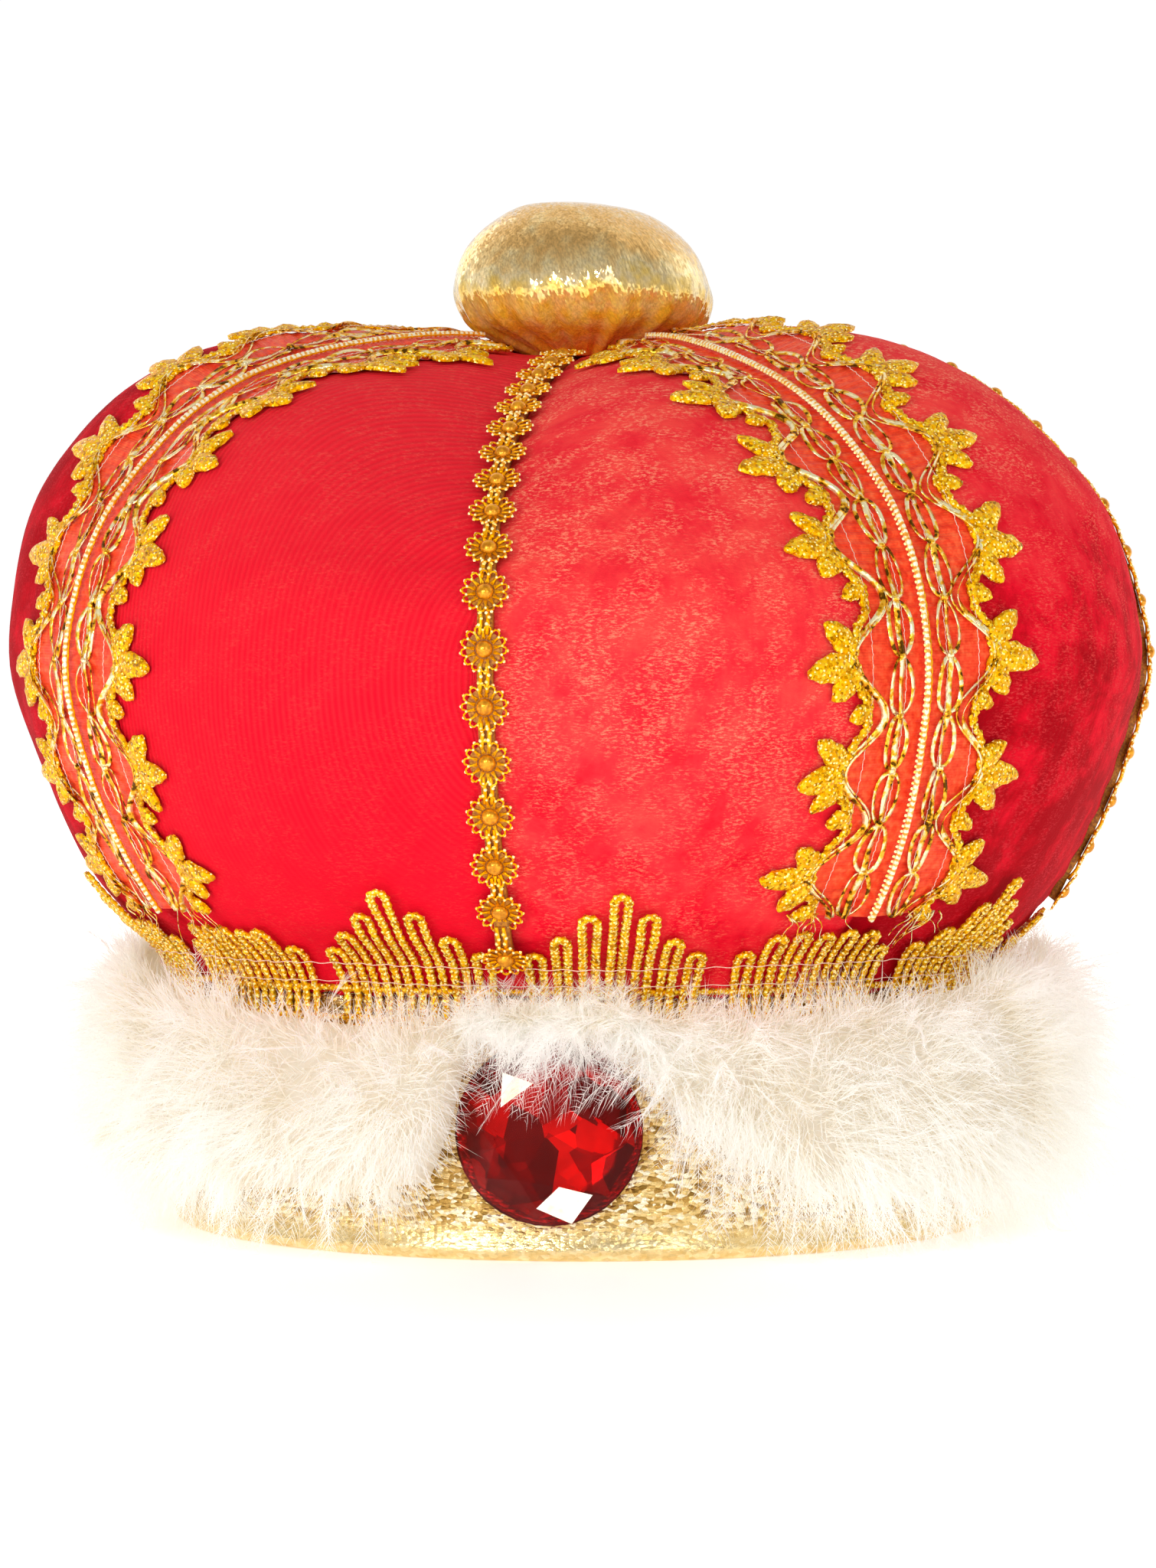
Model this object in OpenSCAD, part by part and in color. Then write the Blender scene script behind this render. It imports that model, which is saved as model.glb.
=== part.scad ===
// A puffed fabric crown: a hollow velvet top of eight gores on a padded headband,
// with trims on its seams, lace round its foot, a feather boa, a stone and a knob.
// Millimetres. The origin is the centre of the base, the front faces -Y and +Z is up.
// An angle round the crown is in degrees from the front, turning towards +X.

/* [Headband] */
// Outer radius of the headband
band_r = 100.5; // [99.5:0.5:101]
// Height of the headband
band_h = 60; // [58:0.5:61]
// Thickness of the headband's padded wall
band_wall = 3; // [2:0.5:4]
// Radius of the rolled hem
hem_r = 2.6; // [2.2:0.1:3]

/* [Velvet puff] */
// Widest radius of the puff, measured in the front seam
puff_r = 137.5; // [134:0.5:141]
// Height of the seams at the flat top of the puff's sides
puff_top = 216; // [206:0.5:226]
// How far the middle of a gore stands out beyond its seams at the shoulder
gore_bulge = 8.5; // [5:0.5:9]
// How far the top of the puff leans towards -X
puff_lean = 3.5; // [0:0.5:6]
// Thickness of the velvet with its backing
puff_wall = 2.5; // [1.5:0.5:3]

/* [Knob] */
// Widest radius of the knob
knob_r = 32; // [28:0.5:34]
// Height of the knob
knob_h = 38; // [32:1:42]
// Lean of the knob towards +X in degrees
knob_lean = 4; // [0:1:6]

/* [Stone] */
// Radius of the stone at its girdle
stone_r = 21.5; // [16:0.5:22]
// Depth of the stone from its back to its table
stone_depth = 10; // [7:0.5:12]
// Angle of the stone round the crown
stone_angle = 4.6; // [-10:0.1:10]
// Height of the stone's middle above the base
stone_z = 30; // [28:0.5:30.5]

/* [Boa] */
// How far the longest locks stand out from the backing
lock_length = 9; // [5:0.5:10]
// Number of locks in one turn round the band
locks_round = 80; // [60:4:96]

/* [Lace border] */
// Number of motifs round the puff's foot
motif_count = 14; // [12:2:14]
// Width of one upright loop
loop_w = 5.6; // [5:0.1:5.8]
// Width of the cord that forms a loop
loop_cord = 1.5; // [1.2:0.1:1.8]
// Thickness of the lace
lace_t = 1.1; // [0.8:0.1:1.2]

/* [Galloon] */
// Half the width of the ribbon without its leaves
ribbon_half = 20; // [16:1:21]
// Distance from one leaf of an edge to the next
leaf_pitch = 25; // [20:0.5:30]
// How far a leaf's tip stands out from the ribbon
leaf_reach = 9.5; // [6:0.5:10]
// Thickness of the galloon
galloon_t = 1.2; // [1:0.1:1.6]
// Radius of the picot piping
piping_r = 1.4; // [1:0.1:1.8]

/* [Rosette braid] */
// Radius of one flower
flower_r = 5.5; // [4.5:0.1:5.6]
// Distance from one flower to the next
flower_pitch = 12.3; // [11.5:0.1:13]
// Thickness of a flower
flower_t = 1.5; // [1:0.1:2]
// Radius of the bead in a flower's middle
bead_r = 2.1; // [1.6:0.1:2.4]

/* [Hidden] */

velvet_red = "#D8102C";
lame_gold = "#E2C377";
knob_gold = "#B8903C";
cord_gold = "#D9A520";
ribbon_coral = "#E8502E";
piping_cream = "#F0D890";
feather_white = "#F6F2EA";
stone_red = "#A00C1C";

// Clearance between a piece and what carries it
seat = 0.3;
// How far the lace stands off the puff and the headband
lace_lift = 0.6;
round_fn = 128;

// Angles of the eight seams round the crown; braids and galloons take turns on them
seam_angles = [0, 42.5, 90, 135, 180, 225, 270, 311];
gore_count = len(seam_angles);
gore_steps = 6;
// How softly a gore leaves its seam
gore_ease = 1.2;

// A seam from the puff's foot to the top. The front sags lower than the sides.
// Columns: share of puff_r and of the puff's height at the sides,
// the same two at the front, share of gore_bulge, share of puff_lean.
puff_seam = [
    [0.734, 0.000, 0.734, 0.000, 0.00, 0.00],
    [0.763, 0.056, 0.770, 0.056, 0.05, 0.00],
    [0.822, 0.114, 0.836, 0.107, 0.12, 0.00],
    [0.876, 0.178, 0.890, 0.171, 0.22, 0.00],
    [0.928, 0.268, 0.945, 0.252, 0.34, 0.00],
    [0.967, 0.364, 0.982, 0.345, 0.45, 0.00],
    [1.000, 0.486, 1.000, 0.460, 0.54, 0.03],
    [0.982, 0.608, 0.975, 0.570, 0.62, 0.12],
    [0.942, 0.717, 0.906, 0.643, 0.72, 0.35],
    [0.876, 0.798, 0.818, 0.711, 0.84, 0.65],
    [0.779, 0.881, 0.713, 0.775, 0.90, 0.90],
    [0.662, 0.942, 0.596, 0.833, 0.80, 1.00],
    [0.524, 0.981, 0.472, 0.881, 0.55, 0.90],
    [0.378, 1.000, 0.349, 0.923, 0.30, 0.60],
    [0.233, 1.000, 0.233, 0.955, 0.12, 0.25],
    [0.095, 0.978, 0.095, 0.978, 0.00, 0.00]];
puff_last = len(puff_seam) - 1;
puff_foot = band_h + seat;
puff_h = puff_top - puff_foot;
// The back sags by this share of the front's sag
back_sag = 0.4;

function seam_row(i) = puff_seam[max(0, min(puff_last, i))];
function curve_between(t, p, q, r, s) =
    (2 * q + t * (r - p) + t * t * (2 * p - 5 * q + 4 * r - s)
        + t * t * t * (3 * q - p - 3 * r + s)) / 2;
function seam_shares(v) =
    let (i = min(floor(v), puff_last - 1))
    curve_between(v - i, seam_row(i - 1), seam_row(i), seam_row(i + 1), seam_row(i + 2));
// Radius and height at an angle round the crown and at step v of the seam table
function seam_point(angle, v) =
    let (s = seam_shares(v),
        sag = pow(abs(cos(angle)), 3) * (cos(angle) > 0 ? 1 : back_sag))
    [puff_r * (s[0] + (s[2] - s[0]) * sag), puff_foot + puff_h * (s[1] + (s[3] - s[1]) * sag)];
// Outward direction there, as radius and height
function seam_normal(angle, v) =
    let (step = 0.02,
        along = seam_point(angle, min(v + step, puff_last))
            - seam_point(angle, max(v - step, 0)))
    [along[1], -along[0]] / norm(along);
// Share of the way from one seam to the next
function gore_share(angle) =
    let (a = (angle + 720) % 360,
        k = max([for (i = [0:gore_count - 1]) if (seam_angles[i] <= a) i]),
        next = k == gore_count - 1 ? 360 : seam_angles[k + 1])
    (a - seam_angles[k]) / (next - seam_angles[k]);
function gore_swell(angle, v) =
    gore_bulge * max(0, seam_shares(v)[4]) * pow(sin(180 * gore_share(angle)), gore_ease);
function puff_section(angle, v, lift) =
    seam_point(angle, v) + (lift + gore_swell(angle, v)) * seam_normal(angle, v);
function lean_at(v) = -puff_lean * seam_shares(v)[5];
function turned(angle, section) =
    [section[0] * sin(angle), -section[0] * cos(angle), section[1]];
function on_puff(angle, v, lift) =
    turned(angle, puff_section(angle, v, lift)) + [lean_at(v), 0, 0];
function degrees_for(width, angle, v) = width / seam_point(angle, v)[0] * 180 / PI;

// Lengths along a seam from v_start, each with its step of the seam table
length_steps = 150;
function seam_lengths(angle, v_start, lift) =
    [for (i = 0, v = v_start, sum = 0; i <= length_steps;
        i = i + 1,
        w = v_start + (puff_last - v_start) * i / length_steps,
        sum = sum + norm(puff_section(angle, w, lift) - puff_section(angle, v, lift)),
        v = w) [sum, v]];

// A closed skin over rings of equal length, with a flat end on the first and last ring
module skin(rings) {
    n = len(rings[0]);
    last = len(rings) - 1;
    polyhedron(
        points = [for (ring = rings) for (p = ring) p],
        faces = concat(
            [[for (j = [0:n - 1]) j]],
            [for (i = [0:last - 1]) for (j = [0:n - 1])
                let (k = (j + 1) % n, a = i * n, b = (i + 1) * n)
                each [[a + k, a + j, b + j], [a + k, b + j, b + k]]],
            [[for (j = [n - 1:-1:0]) last * n + j]]));
}

function gore_width(k) =
    (k == gore_count - 1 ? 360 : seam_angles[k + 1]) - seam_angles[k];
function puff_ring(v, lift) =
    [for (k = [0:gore_count - 1]) for (j = [0:gore_steps - 1])
        on_puff(seam_angles[k] + gore_width(k) * j / gore_steps, v, lift)];

// The hollow velvet top: down the inside from the crown's middle, then up the outside
module puff() {
    color(velvet_red)
    skin(concat(
        [for (v = [puff_last:-1:0]) puff_ring(v, -puff_wall)],
        [for (v = [0:puff_last]) puff_ring(v, 0)]));
}

// The band that goes round the head, with a hem rolled at its lower edge and cut flat
hem_inset = 1.4;
hem_flat = 0.6;
module headband() {
    color(lame_gold)
    rotate_extrude($fn = round_fn)
    difference() {
        union() {
            translate([band_r - band_wall, 0]) square([band_wall, band_h]);
            translate([band_r - hem_inset, hem_r - hem_flat]) circle(hem_r, $fn = 32);
        }
        translate([0, -hem_r]) square([band_r + hem_r, hem_r]);
    }
}

// The boa's backing from its lower inner edge round the outside to its upper inner edge.
// Columns: thickness out from the band, share of the backing's height.
boa_backing = [
    [0.6, 0.02], [8.0, 0.00], [13.0, 0.14], [15.0, 0.34],
    [15.5, 0.56], [14.5, 0.78], [12.5, 0.94], [8.0, 1.00]];
boa_thin_over = 8;
boa_room = 0.5;
boa_inner_r = band_r + lace_lift + lace_t + boa_room;
boa_low = 12;
boa_high = 64;
// The boa's upper edge sags at the front, where the lace stands free of it
boa_sag = 11;
boa_sag_ease = 1.5;
// Share of the backing's height where its inner face turns out to its upper edge
boa_step = 0.8;
boa_seed = 11;
// The boa is parted round the stone, closely on the left and slowly on the right.
// Columns: degrees from the stone, share of the parting.
stone_parting = [[-180, 0], [-18, 0], [-13.6, 0.36], [-9.1, 1], [9.1, 1],
    [13.6, 0.6], [18, 0.4], [32, 0], [180, 0]];
part_low = stone_z + stone_r + 1.5;
part_lift = 5;
part_thin = 0.5;
lock_droop = 3;

function boa_angle(i) = stone_angle + i * 360 / locks_round;
function boa_part(angle) = lookup((angle - stone_angle + 540) % 360 - 180, stone_parting);
function boa_z(angle, share) =
    let (part = boa_part(angle),
        low = boa_low + (part_low - boa_low) * part,
        high = boa_high - boa_sag * pow(max(0, cos(angle)), boa_sag_ease) + part_lift * part)
    low + (high - low) * share;
function boa_point(i, k) =
    let (angle = boa_angle(i),
        row = boa_backing[k],
        thin = part_thin * boa_part(angle) * max(0, row[0] - boa_thin_over))
    turned(angle, [boa_inner_r + row[0] - thin, boa_z(angle, row[1])]);
module boa() {
    rows = len(boa_backing);
    ring = rows + 1;
    cells = rows - 1;
    tip_random = rands(0, 1, locks_round * cells, boa_seed);
    backing = [for (i = [0:locks_round - 1]) each concat(
        [for (k = [0:rows - 1]) boa_point(i, k)],
        [turned(boa_angle(i), [boa_inner_r, boa_z(boa_angle(i), boa_step)])])];
    // Each lock is a point over one cell of the backing, turned out and a little down
    tips = [for (i = [0:locks_round - 1]) for (k = [0:cells - 1])
        let (pick = tip_random[i * cells + k],
            next = (i + 1) % locks_round,
            middle = (boa_point(i, k) + boa_point(next, k)
                + boa_point(i, k + 1) + boa_point(next, k + 1)) / 4,
            part = boa_part(boa_angle(i + 0.5)),
            rise = k / (cells - 1) - 0.35,
            reach = lock_length * (0.45 + 0.55 * pick) * (1 - part / 3))
        middle + turned(boa_angle(i + pick),
            [reach, reach * rise - lock_droop * (1 - part) * pick])];
    first_tip = locks_round * ring;
    color(feather_white)
    polyhedron(
        points = concat(backing, tips),
        faces = [for (i = [0:locks_round - 1])
            let (a = i * ring, b = (i + 1) % locks_round * ring)
            each concat(
                [for (k = [0:cells - 1]) let (tip = first_tip + i * cells + k) each [
                    [a + k, a + k + 1, tip], [a + k + 1, b + k + 1, tip],
                    [b + k + 1, b + k, tip], [b + k, a + k, tip]]],
                [for (k = [cells:cells + 1]) let (l = (k + 1) % ring)
                    each [[a + k, a + l, b + l], [a + k, b + l, b + k]]])]);
}

// A round cut stone with a flat back, a thin girdle, eight main facets and a table.
// Columns: share of stone_r, share of stone_depth, number of sides, turn in degrees.
stone_cuts = [
    [0.96, 0.00, 16, 0],
    [1.00, 0.15, 16, 0],
    [1.00, 0.25, 16, 0],
    [0.84, 0.66, 8, 22.5],
    [0.56, 1.00, 8, 0]];
slice_t = 0.01;
module stone() {
    color(stone_red)
    rotate([0, 0, stone_angle])
    translate([0, -(band_r + hem_flat), stone_z])
    rotate([90, 0, 0])
    hull() {
        for (cut = stone_cuts)
            rotate([0, 0, cut[3]])
            translate([0, 0, cut[1] * stone_depth])
            linear_extrude(slice_t) circle(cut[0] * stone_r, $fn = cut[2]);
    }
}

// The knob from its gathered foot to its top.
// Columns: share of knob_r, share of knob_h, share of gather_depth.
knob_rows = [
    [0.36, 0.00, 0.5], [0.50, 0.06, 1.0], [0.67, 0.12, 1.0], [0.83, 0.18, 0.8],
    [0.94, 0.27, 0.4], [1.00, 0.41, 0.2], [0.96, 0.57, 0.0], [0.87, 0.72, 0.0],
    [0.72, 0.85, 0.0], [0.50, 0.96, 0.0], [0.24, 1.00, 0.0]];
knob_gathers = 16;
gather_depth = 1.6;
knob_foot = seam_point(0, puff_last)[1] + seat;
function knob_point(row, j) =
    let (angle = j * 180 / knob_gathers,
        r = knob_r * row[0] + gather_depth * row[2] * (j % 2 - 0.5),
        x = r * sin(angle))
    [x, -r * cos(angle), knob_foot + knob_h * row[1] - x * row[1] * tan(knob_lean)];
module knob() {
    color(knob_gold)
    skin([for (row = knob_rows) [for (j = [0:2 * knob_gathers - 1]) knob_point(row, j)]]);
}

// Height of each loop of a motif above the lace's lower edge
loop_heights = [13.5, 19.5, 26, 32, 26, 19.5, 13.5];
loops_in_motif = len(loop_heights);
tallest_loop = max(loop_heights);
motif_angle = 360 / motif_count;
lace_foot_v = 0.1;
lace_band_h = 4;
// Lower edge of the lace, which hangs over the headband down to the stone
lace_low_z = stone_z + stone_r + 0.8;
// How far the top of the tallest loop stands off, to clear the swell of the puff
loop_top_lift = 1;
// A motif's loops stand closer at their feet than at their tops
foot_crowd = 0.84;
top_crowd = 0.96;
// Loops tuck in below the ends of the trims that stop above them
tucked_h = 20;
galloon_tuck = 14.5;
braid_tuck = 4.5;

function off_angle(a, b) = abs((a - b + 540) % 360 - 180);
function tucked(angle) = len([for (k = [1:gore_count - 1])
    if (k != gore_count / 2
        && off_angle(angle, seam_angles[k]) < (k % 2 == 1 ? galloon_tuck : braid_tuck)) k]) > 0;

// One upright loop, cut through, with a rounded top
module loop_outline(w, h, low) {
    octagon_turn = 22.5;
    translate([-w / 2, low]) square([w, h - w / 2 - low]);
    translate([0, h - w / 2]) rotate(octagon_turn) circle(w / 2 / cos(octagon_turn), $fn = 8);
}
module lace_loop(h) {
    linear_extrude(lace_t)
    difference() {
        loop_outline(loop_w, h, 0);
        loop_outline(loop_w - 2 * loop_cord, h - loop_cord, lace_band_h);
    }
}
module lace_border() {
    color(cord_gold)
    union() {
        lengths = seam_lengths(90, lace_foot_v, lace_lift);
        foot = puff_section(0, lace_foot_v, lace_lift);
        head = puff_section(0, lookup(lace_band_h, lengths), lace_lift);
        out = seam_normal(0, lace_foot_v) * lace_t;
        band = band_r + lace_lift;
        rotate_extrude($fn = round_fn)
        polygon([[band, lace_low_z], [band + lace_t, lace_low_z], [band + lace_t, band_h],
            foot + out, head + out, head, foot, [band, band_h]]);
        for (m = [0:motif_count - 1]) for (j = [0:loops_in_motif - 1]) {
            spread = (j - (loops_in_motif - 1) / 2) / loops_in_motif * motif_angle;
            top_angle = (m + 0.5) * motif_angle + spread * top_crowd;
            foot_angle = (m + 0.5) * motif_angle + spread * foot_crowd;
            h = tucked(top_angle) ? min(tucked_h, loop_heights[j]) : loop_heights[j];
            low = puff_section(foot_angle, lace_foot_v, lace_lift);
            high = puff_section(top_angle, lookup(h, lengths),
                lace_lift + loop_top_lift * pow(h / tallest_loop, 2));
            rise = high - low;
            sideways = (top_angle - foot_angle) * PI / 180 * high[0];
            rotate([0, 0, foot_angle])
            translate([0, -low[0], low[1]])
            rotate([atan2(rise[1], -rise[0]), 0, 0])
            rotate([0, 0, -atan2(sideways, h)])
            lace_loop(h);
        }
    }
}

// The galloon's leaf edge over one leaf, from one valley to the next, in quarters.
// Column: share of leaf_reach.
leaf_edge = [0.15, 0.75, 1.00, 0.60];
leaf_quarters = len(leaf_edge);
galloon_foot_v = 2.25;
galloon_end_v = puff_last - 1.1;
galloon_lift = 0.7;
// The ribbon bridges the seam's valley
bridge_lift = 0.7;
// Near the knob the ribbon narrows to its share of the room between the seams
ribbon_room = 0.3;
leaf_room = 0.36;

function galloon_ring(seam, v, quarter) =
    let (room = seam_point(seam, v)[0],
        rib = min(ribbon_half, ribbon_room * room),
        tip = min(rib + leaf_reach * leaf_edge[quarter], leaf_room * room),
        across = [-tip, -rib, 0, rib, tip],
        bridge = [0, 0, bridge_lift, 0, 0])
    concat(
        [for (k = [0:4]) on_puff(seam + degrees_for(across[k], seam, v), v,
            galloon_lift + bridge[k] + galloon_t)],
        [for (k = [4:-1:0]) on_puff(seam + degrees_for(across[k], seam, v), v,
            galloon_lift + bridge[k])]);
module galloon(seam) {
    lengths = seam_lengths(seam, galloon_foot_v, 0);
    reach = lookup(galloon_end_v, [for (l = lengths) [l[1], l[0]]]);
    quarters = floor(reach / leaf_pitch * leaf_quarters);
    color(ribbon_coral)
    skin([for (i = [0:quarters])
        galloon_ring(seam, lookup(i * reach / quarters, lengths), i % leaf_quarters)]);
}

// The picot cord along the galloon's middle
piping_rows = 24;
piping_sides = 6;
piping_lift = galloon_lift + bridge_lift + galloon_t + piping_r + seat;
function piping_ring(seam, v) =
    [for (j = [0:piping_sides - 1])
        let (turn = 30 - j * 360 / piping_sides)
        on_puff(seam, v, piping_lift + piping_r * sin(turn))
            + piping_r * cos(turn) * [cos(seam), sin(seam), 0]];
module piping(seam) {
    color(piping_cream)
    skin([for (i = [0:piping_rows])
        piping_ring(seam, galloon_foot_v + (galloon_end_v - galloon_foot_v) * i / piping_rows)]);
}

// A braid of flowers down a seam, with a domed bead in each and a neck between two
petal_count = 8;
petal_notch = 0.84;
neck_w = 4;
neck_t = 1.1;
neck_rise = 0.15;
braid_foot_v = 1.5;
side_braid_foot_v = 2.5;
braid_end_v = puff_last - 1.1;
// The braid's foot passes over the lace
lace_pass = 2.2;
lace_pass_v = 1.3;
valley_ease = 1.2;
flower_seat = 0.75;

// A flower lies on the gores at both sides of the seam's valley
function flower_lift(seam, v) =
    flower_seat + gore_swell(seam + degrees_for(flower_r, seam, v), v) * valley_ease
        + lace_pass * max(0, min(1, braid_foot_v + lace_pass_v - v));

module on_seam(seam, v) {
    n = seam_normal(seam, v);
    p = seam_point(seam, v) + flower_lift(seam, v) * n;
    translate([lean_at(v), 0, 0])
    rotate([0, 0, seam])
    translate([0, -p[0], p[1]])
    rotate([atan2(n[0], n[1]), 0, 0])
    children();
}
module flower() {
    linear_extrude(flower_t)
    polygon([for (j = [0:2 * petal_count - 1])
        flower_r * (j % 2 == 0 ? 1 : petal_notch)
            * [cos(j * 180 / petal_count), sin(j * 180 / petal_count)]]);
    translate([0, 0, flower_t - bead_r / 3]) sphere(bead_r, $fn = 24);
}
module rosette_braid(seam, foot_v) {
    lengths = seam_lengths(seam, foot_v, 0);
    reach = lookup(braid_end_v, [for (l = lengths) [l[1], l[0]]]);
    last_flower = floor(reach / flower_pitch);
    color(cord_gold)
    union() {
        for (i = [0:last_flower])
            on_seam(seam, lookup(i * flower_pitch, lengths)) flower();
        for (i = [0:last_flower - 1])
            on_seam(seam, lookup((i + 0.5) * flower_pitch, lengths))
            translate([-neck_w / 2, -neck_w, neck_rise]) cube([neck_w, 2 * neck_w, neck_t]);
    }
}

puff();
headband();
boa();
stone();
knob();
lace_border();
galloon(seam_angles[1]);  // galloon_1
galloon(seam_angles[3]);  // galloon_2
galloon(seam_angles[5]);  // galloon_3
galloon(seam_angles[7]);  // galloon_4
piping(seam_angles[1]);  // piping_1
piping(seam_angles[3]);  // piping_2
piping(seam_angles[5]);  // piping_3
piping(seam_angles[7]);  // piping_4
rosette_braid(seam_angles[0], braid_foot_v);  // rosette_braid_1
rosette_braid(seam_angles[2], side_braid_foot_v);  // rosette_braid_2
rosette_braid(seam_angles[4], braid_foot_v);  // rosette_braid_3
rosette_braid(seam_angles[6], side_braid_foot_v);  // rosette_braid_4
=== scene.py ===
import math

import bpy
import numpy as np
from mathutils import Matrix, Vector


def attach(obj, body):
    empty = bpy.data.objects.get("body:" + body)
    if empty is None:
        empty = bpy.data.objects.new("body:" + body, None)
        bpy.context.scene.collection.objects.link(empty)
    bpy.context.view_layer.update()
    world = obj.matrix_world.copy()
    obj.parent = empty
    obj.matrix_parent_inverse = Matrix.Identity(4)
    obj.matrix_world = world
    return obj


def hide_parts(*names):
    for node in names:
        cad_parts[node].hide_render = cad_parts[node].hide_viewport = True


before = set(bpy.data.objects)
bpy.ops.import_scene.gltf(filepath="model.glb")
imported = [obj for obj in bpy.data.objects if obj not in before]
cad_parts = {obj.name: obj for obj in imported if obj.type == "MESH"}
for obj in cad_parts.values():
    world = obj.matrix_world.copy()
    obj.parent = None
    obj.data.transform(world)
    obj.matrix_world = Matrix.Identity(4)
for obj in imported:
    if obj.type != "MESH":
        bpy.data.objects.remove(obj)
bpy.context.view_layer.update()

# Camera
# It stands level with the middle of the crown and a little to its right, as in the
# photograph, on a long lens.
mm = 0.001
eye_turn = math.radians(9)
eye_distance = 1.150
eye_height = 0.130
aim_right, aim_height = -0.0015, 0.107
camera_data = bpy.data.cameras.new("camera")
camera_data.lens = 106
camera = bpy.data.objects.new("camera", camera_data)
bpy.context.scene.collection.objects.link(camera)
camera.location = (eye_distance * math.sin(eye_turn), -eye_distance * math.cos(eye_turn), eye_height)
camera.rotation_euler = (Vector((aim_right, 0, aim_height)) - camera.location).to_track_quat("-Z",
    "Y").to_euler()
bpy.context.scene.camera = camera

# Studio
# A white light table in front of a white wall. The room is pale overhead and half as bright
# behind the camera, so that the gold shows darker bands beside bright ones. Two soft lamps
# stand at the front, two behind, and a small bare one makes the sparks on the beads.
bpy.context.scene.view_settings.view_transform = "Standard"


def linear(colour):
    """An sRGB hex colour as linear red, green, blue and alpha."""
    shares = [int(colour[i:i + 2], 16) / 255 for i in (1, 3, 5)]
    return [c / 12.92 if c <= 0.04045 else ((c + 0.055) / 1.055) ** 2.4 for c in shares] + [1.0]


def node(tree, kind, settings, links=None):
    """Adds one shader node, with its settings by socket or property name and its links. Of a
    node given as the source of a link, the first output is taken."""
    made = tree.nodes.new("ShaderNode" + kind)
    for name, value in settings.items():
        if name == "stops":
            while len(made.color_ramp.elements) < len(value):
                made.color_ramp.elements.new(1.0)
            for element, (place, colour) in zip(made.color_ramp.elements, value):
                element.position, element.color = place, linear(colour)
        elif name == "range":
            for end, place in zip(("From Min", "From Max", "To Min", "To Max"), value):
                made.inputs[end].default_value = place
        elif name == "grain_mm":
            made.inputs["Scale"].default_value = 1 / (value * mm)
        elif isinstance(name, int) or name in made.inputs:
            made.inputs[name].default_value = value
        else:
            setattr(made, name, value)
    for name, source in (links or {}).items():
        tree.links.new(source.outputs[0] if isinstance(source, bpy.types.Node) else source, made.inputs[name])
    return made


def new_surface(name):
    """A material whose node tree holds only its object coordinates."""
    made = bpy.data.materials.new(name)
    made.use_nodes = True
    made.node_tree.nodes.clear()
    tree = made.node_tree
    return made, tree, node(tree, "TexCoord", {}).outputs["Object"]


world = bpy.data.worlds.new("studio")
world.use_nodes = True
bpy.context.scene.world = world
sky = world.node_tree
sky.nodes.clear()
direction = node(sky, "SeparateXYZ", {}, {0: node(sky, "TexCoord", {}).outputs["Generated"]})
wall = node(sky, "MapRange", {"range": (-0.15, 0.45, 0.46, 1.02)}, {"Value": direction.outputs["Y"]})
overhead = node(sky, "ValToRGB", {"stops": [(0.00, "#FFFFFF"), (0.35, "#FFFFFF"), (0.65, "#F8F6F2"),
    (1.00, "#F2EEE8")]}, {"Fac": direction.outputs["Z"]})
room = node(sky, "Background", {}, {"Color": overhead, "Strength": wall})
node(sky, "OutputWorld", {}, {"Surface": room})

table_r = 4.0
table_sides = 96
table_mesh = bpy.data.meshes.new("light_table")
table_mesh.from_pydata([(table_r * math.sin(i * 2 * math.pi / table_sides),
    -table_r * math.cos(i * 2 * math.pi / table_sides), 0) for i in range(table_sides)], [],
    [range(table_sides)])
table = bpy.data.objects.new("light_table", table_mesh)
bpy.context.scene.collection.objects.link(table)
# Opal acrylic lit from below, evenly under the crown and strongly round it
opal, tree, where = new_surface("opal_acrylic")
away = node(tree, "VectorMath", {"operation": "LENGTH"}, {0: where}).outputs["Value"]
glow = node(tree, "MapRange", {"range": (0.20, 0.50, 0.44, 0.72)}, {"Value": away})
board = node(tree, "BsdfPrincipled", {"Base Color": linear("#F8F7F5"), "Roughness": 0.6,
    "Emission Color": linear("#FFFDFA")}, {"Emission Strength": glow})
node(tree, "OutputMaterial", {}, {"Surface": board})
table_mesh.materials.append(opal)

# Columns: place in metres, size in metres, power in watts
for name, place, size, power in (
        ("right_lamp", (0.75, -1.25, 0.42), 0.50, 2.2),
        ("left_lamp", (-0.60, -1.30, 0.40), 0.45, 5.3),
        ("spark_lamp", (-0.10, -1.35, 0.50), 0.05, 2),
        ("back_right_lamp", (1.0, 1.1, 0.8), 0.8, 0.8),
        ("back_left_lamp", (-1.0, 1.1, 0.8), 0.8, 1.4)):
    lamp_data = bpy.data.lights.new(name, "AREA")
    lamp_data.size, lamp_data.energy = size, power
    lamp = bpy.data.objects.new(name, lamp_data)
    bpy.context.scene.collection.objects.link(lamp)
    lamp.location = place
    lamp.rotation_euler = (Vector((0, 0, 0.12)) - lamp.location).to_track_quat("-Z", "Y").to_euler()

# Puff
# The top of the crown: eight gores of short-pile red velvet, sewn together at their edges
# and kept round by a stiff backing. The sheen and shade of its pile are painted into its colour,
# gore by gore and from foot to top.
seam_angles = np.array([0, 42.5, 90, 135, 180, 225, 270, 311, 360])
gore_count = len(seam_angles) - 1
puff_r, puff_top, puff_foot = 137.5, 216, 60.3
gore_bulge, gore_ease = 8.5, 1.2
puff_lean = 3.5
back_sag = 0.4
velvet_t = 2.2

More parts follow.
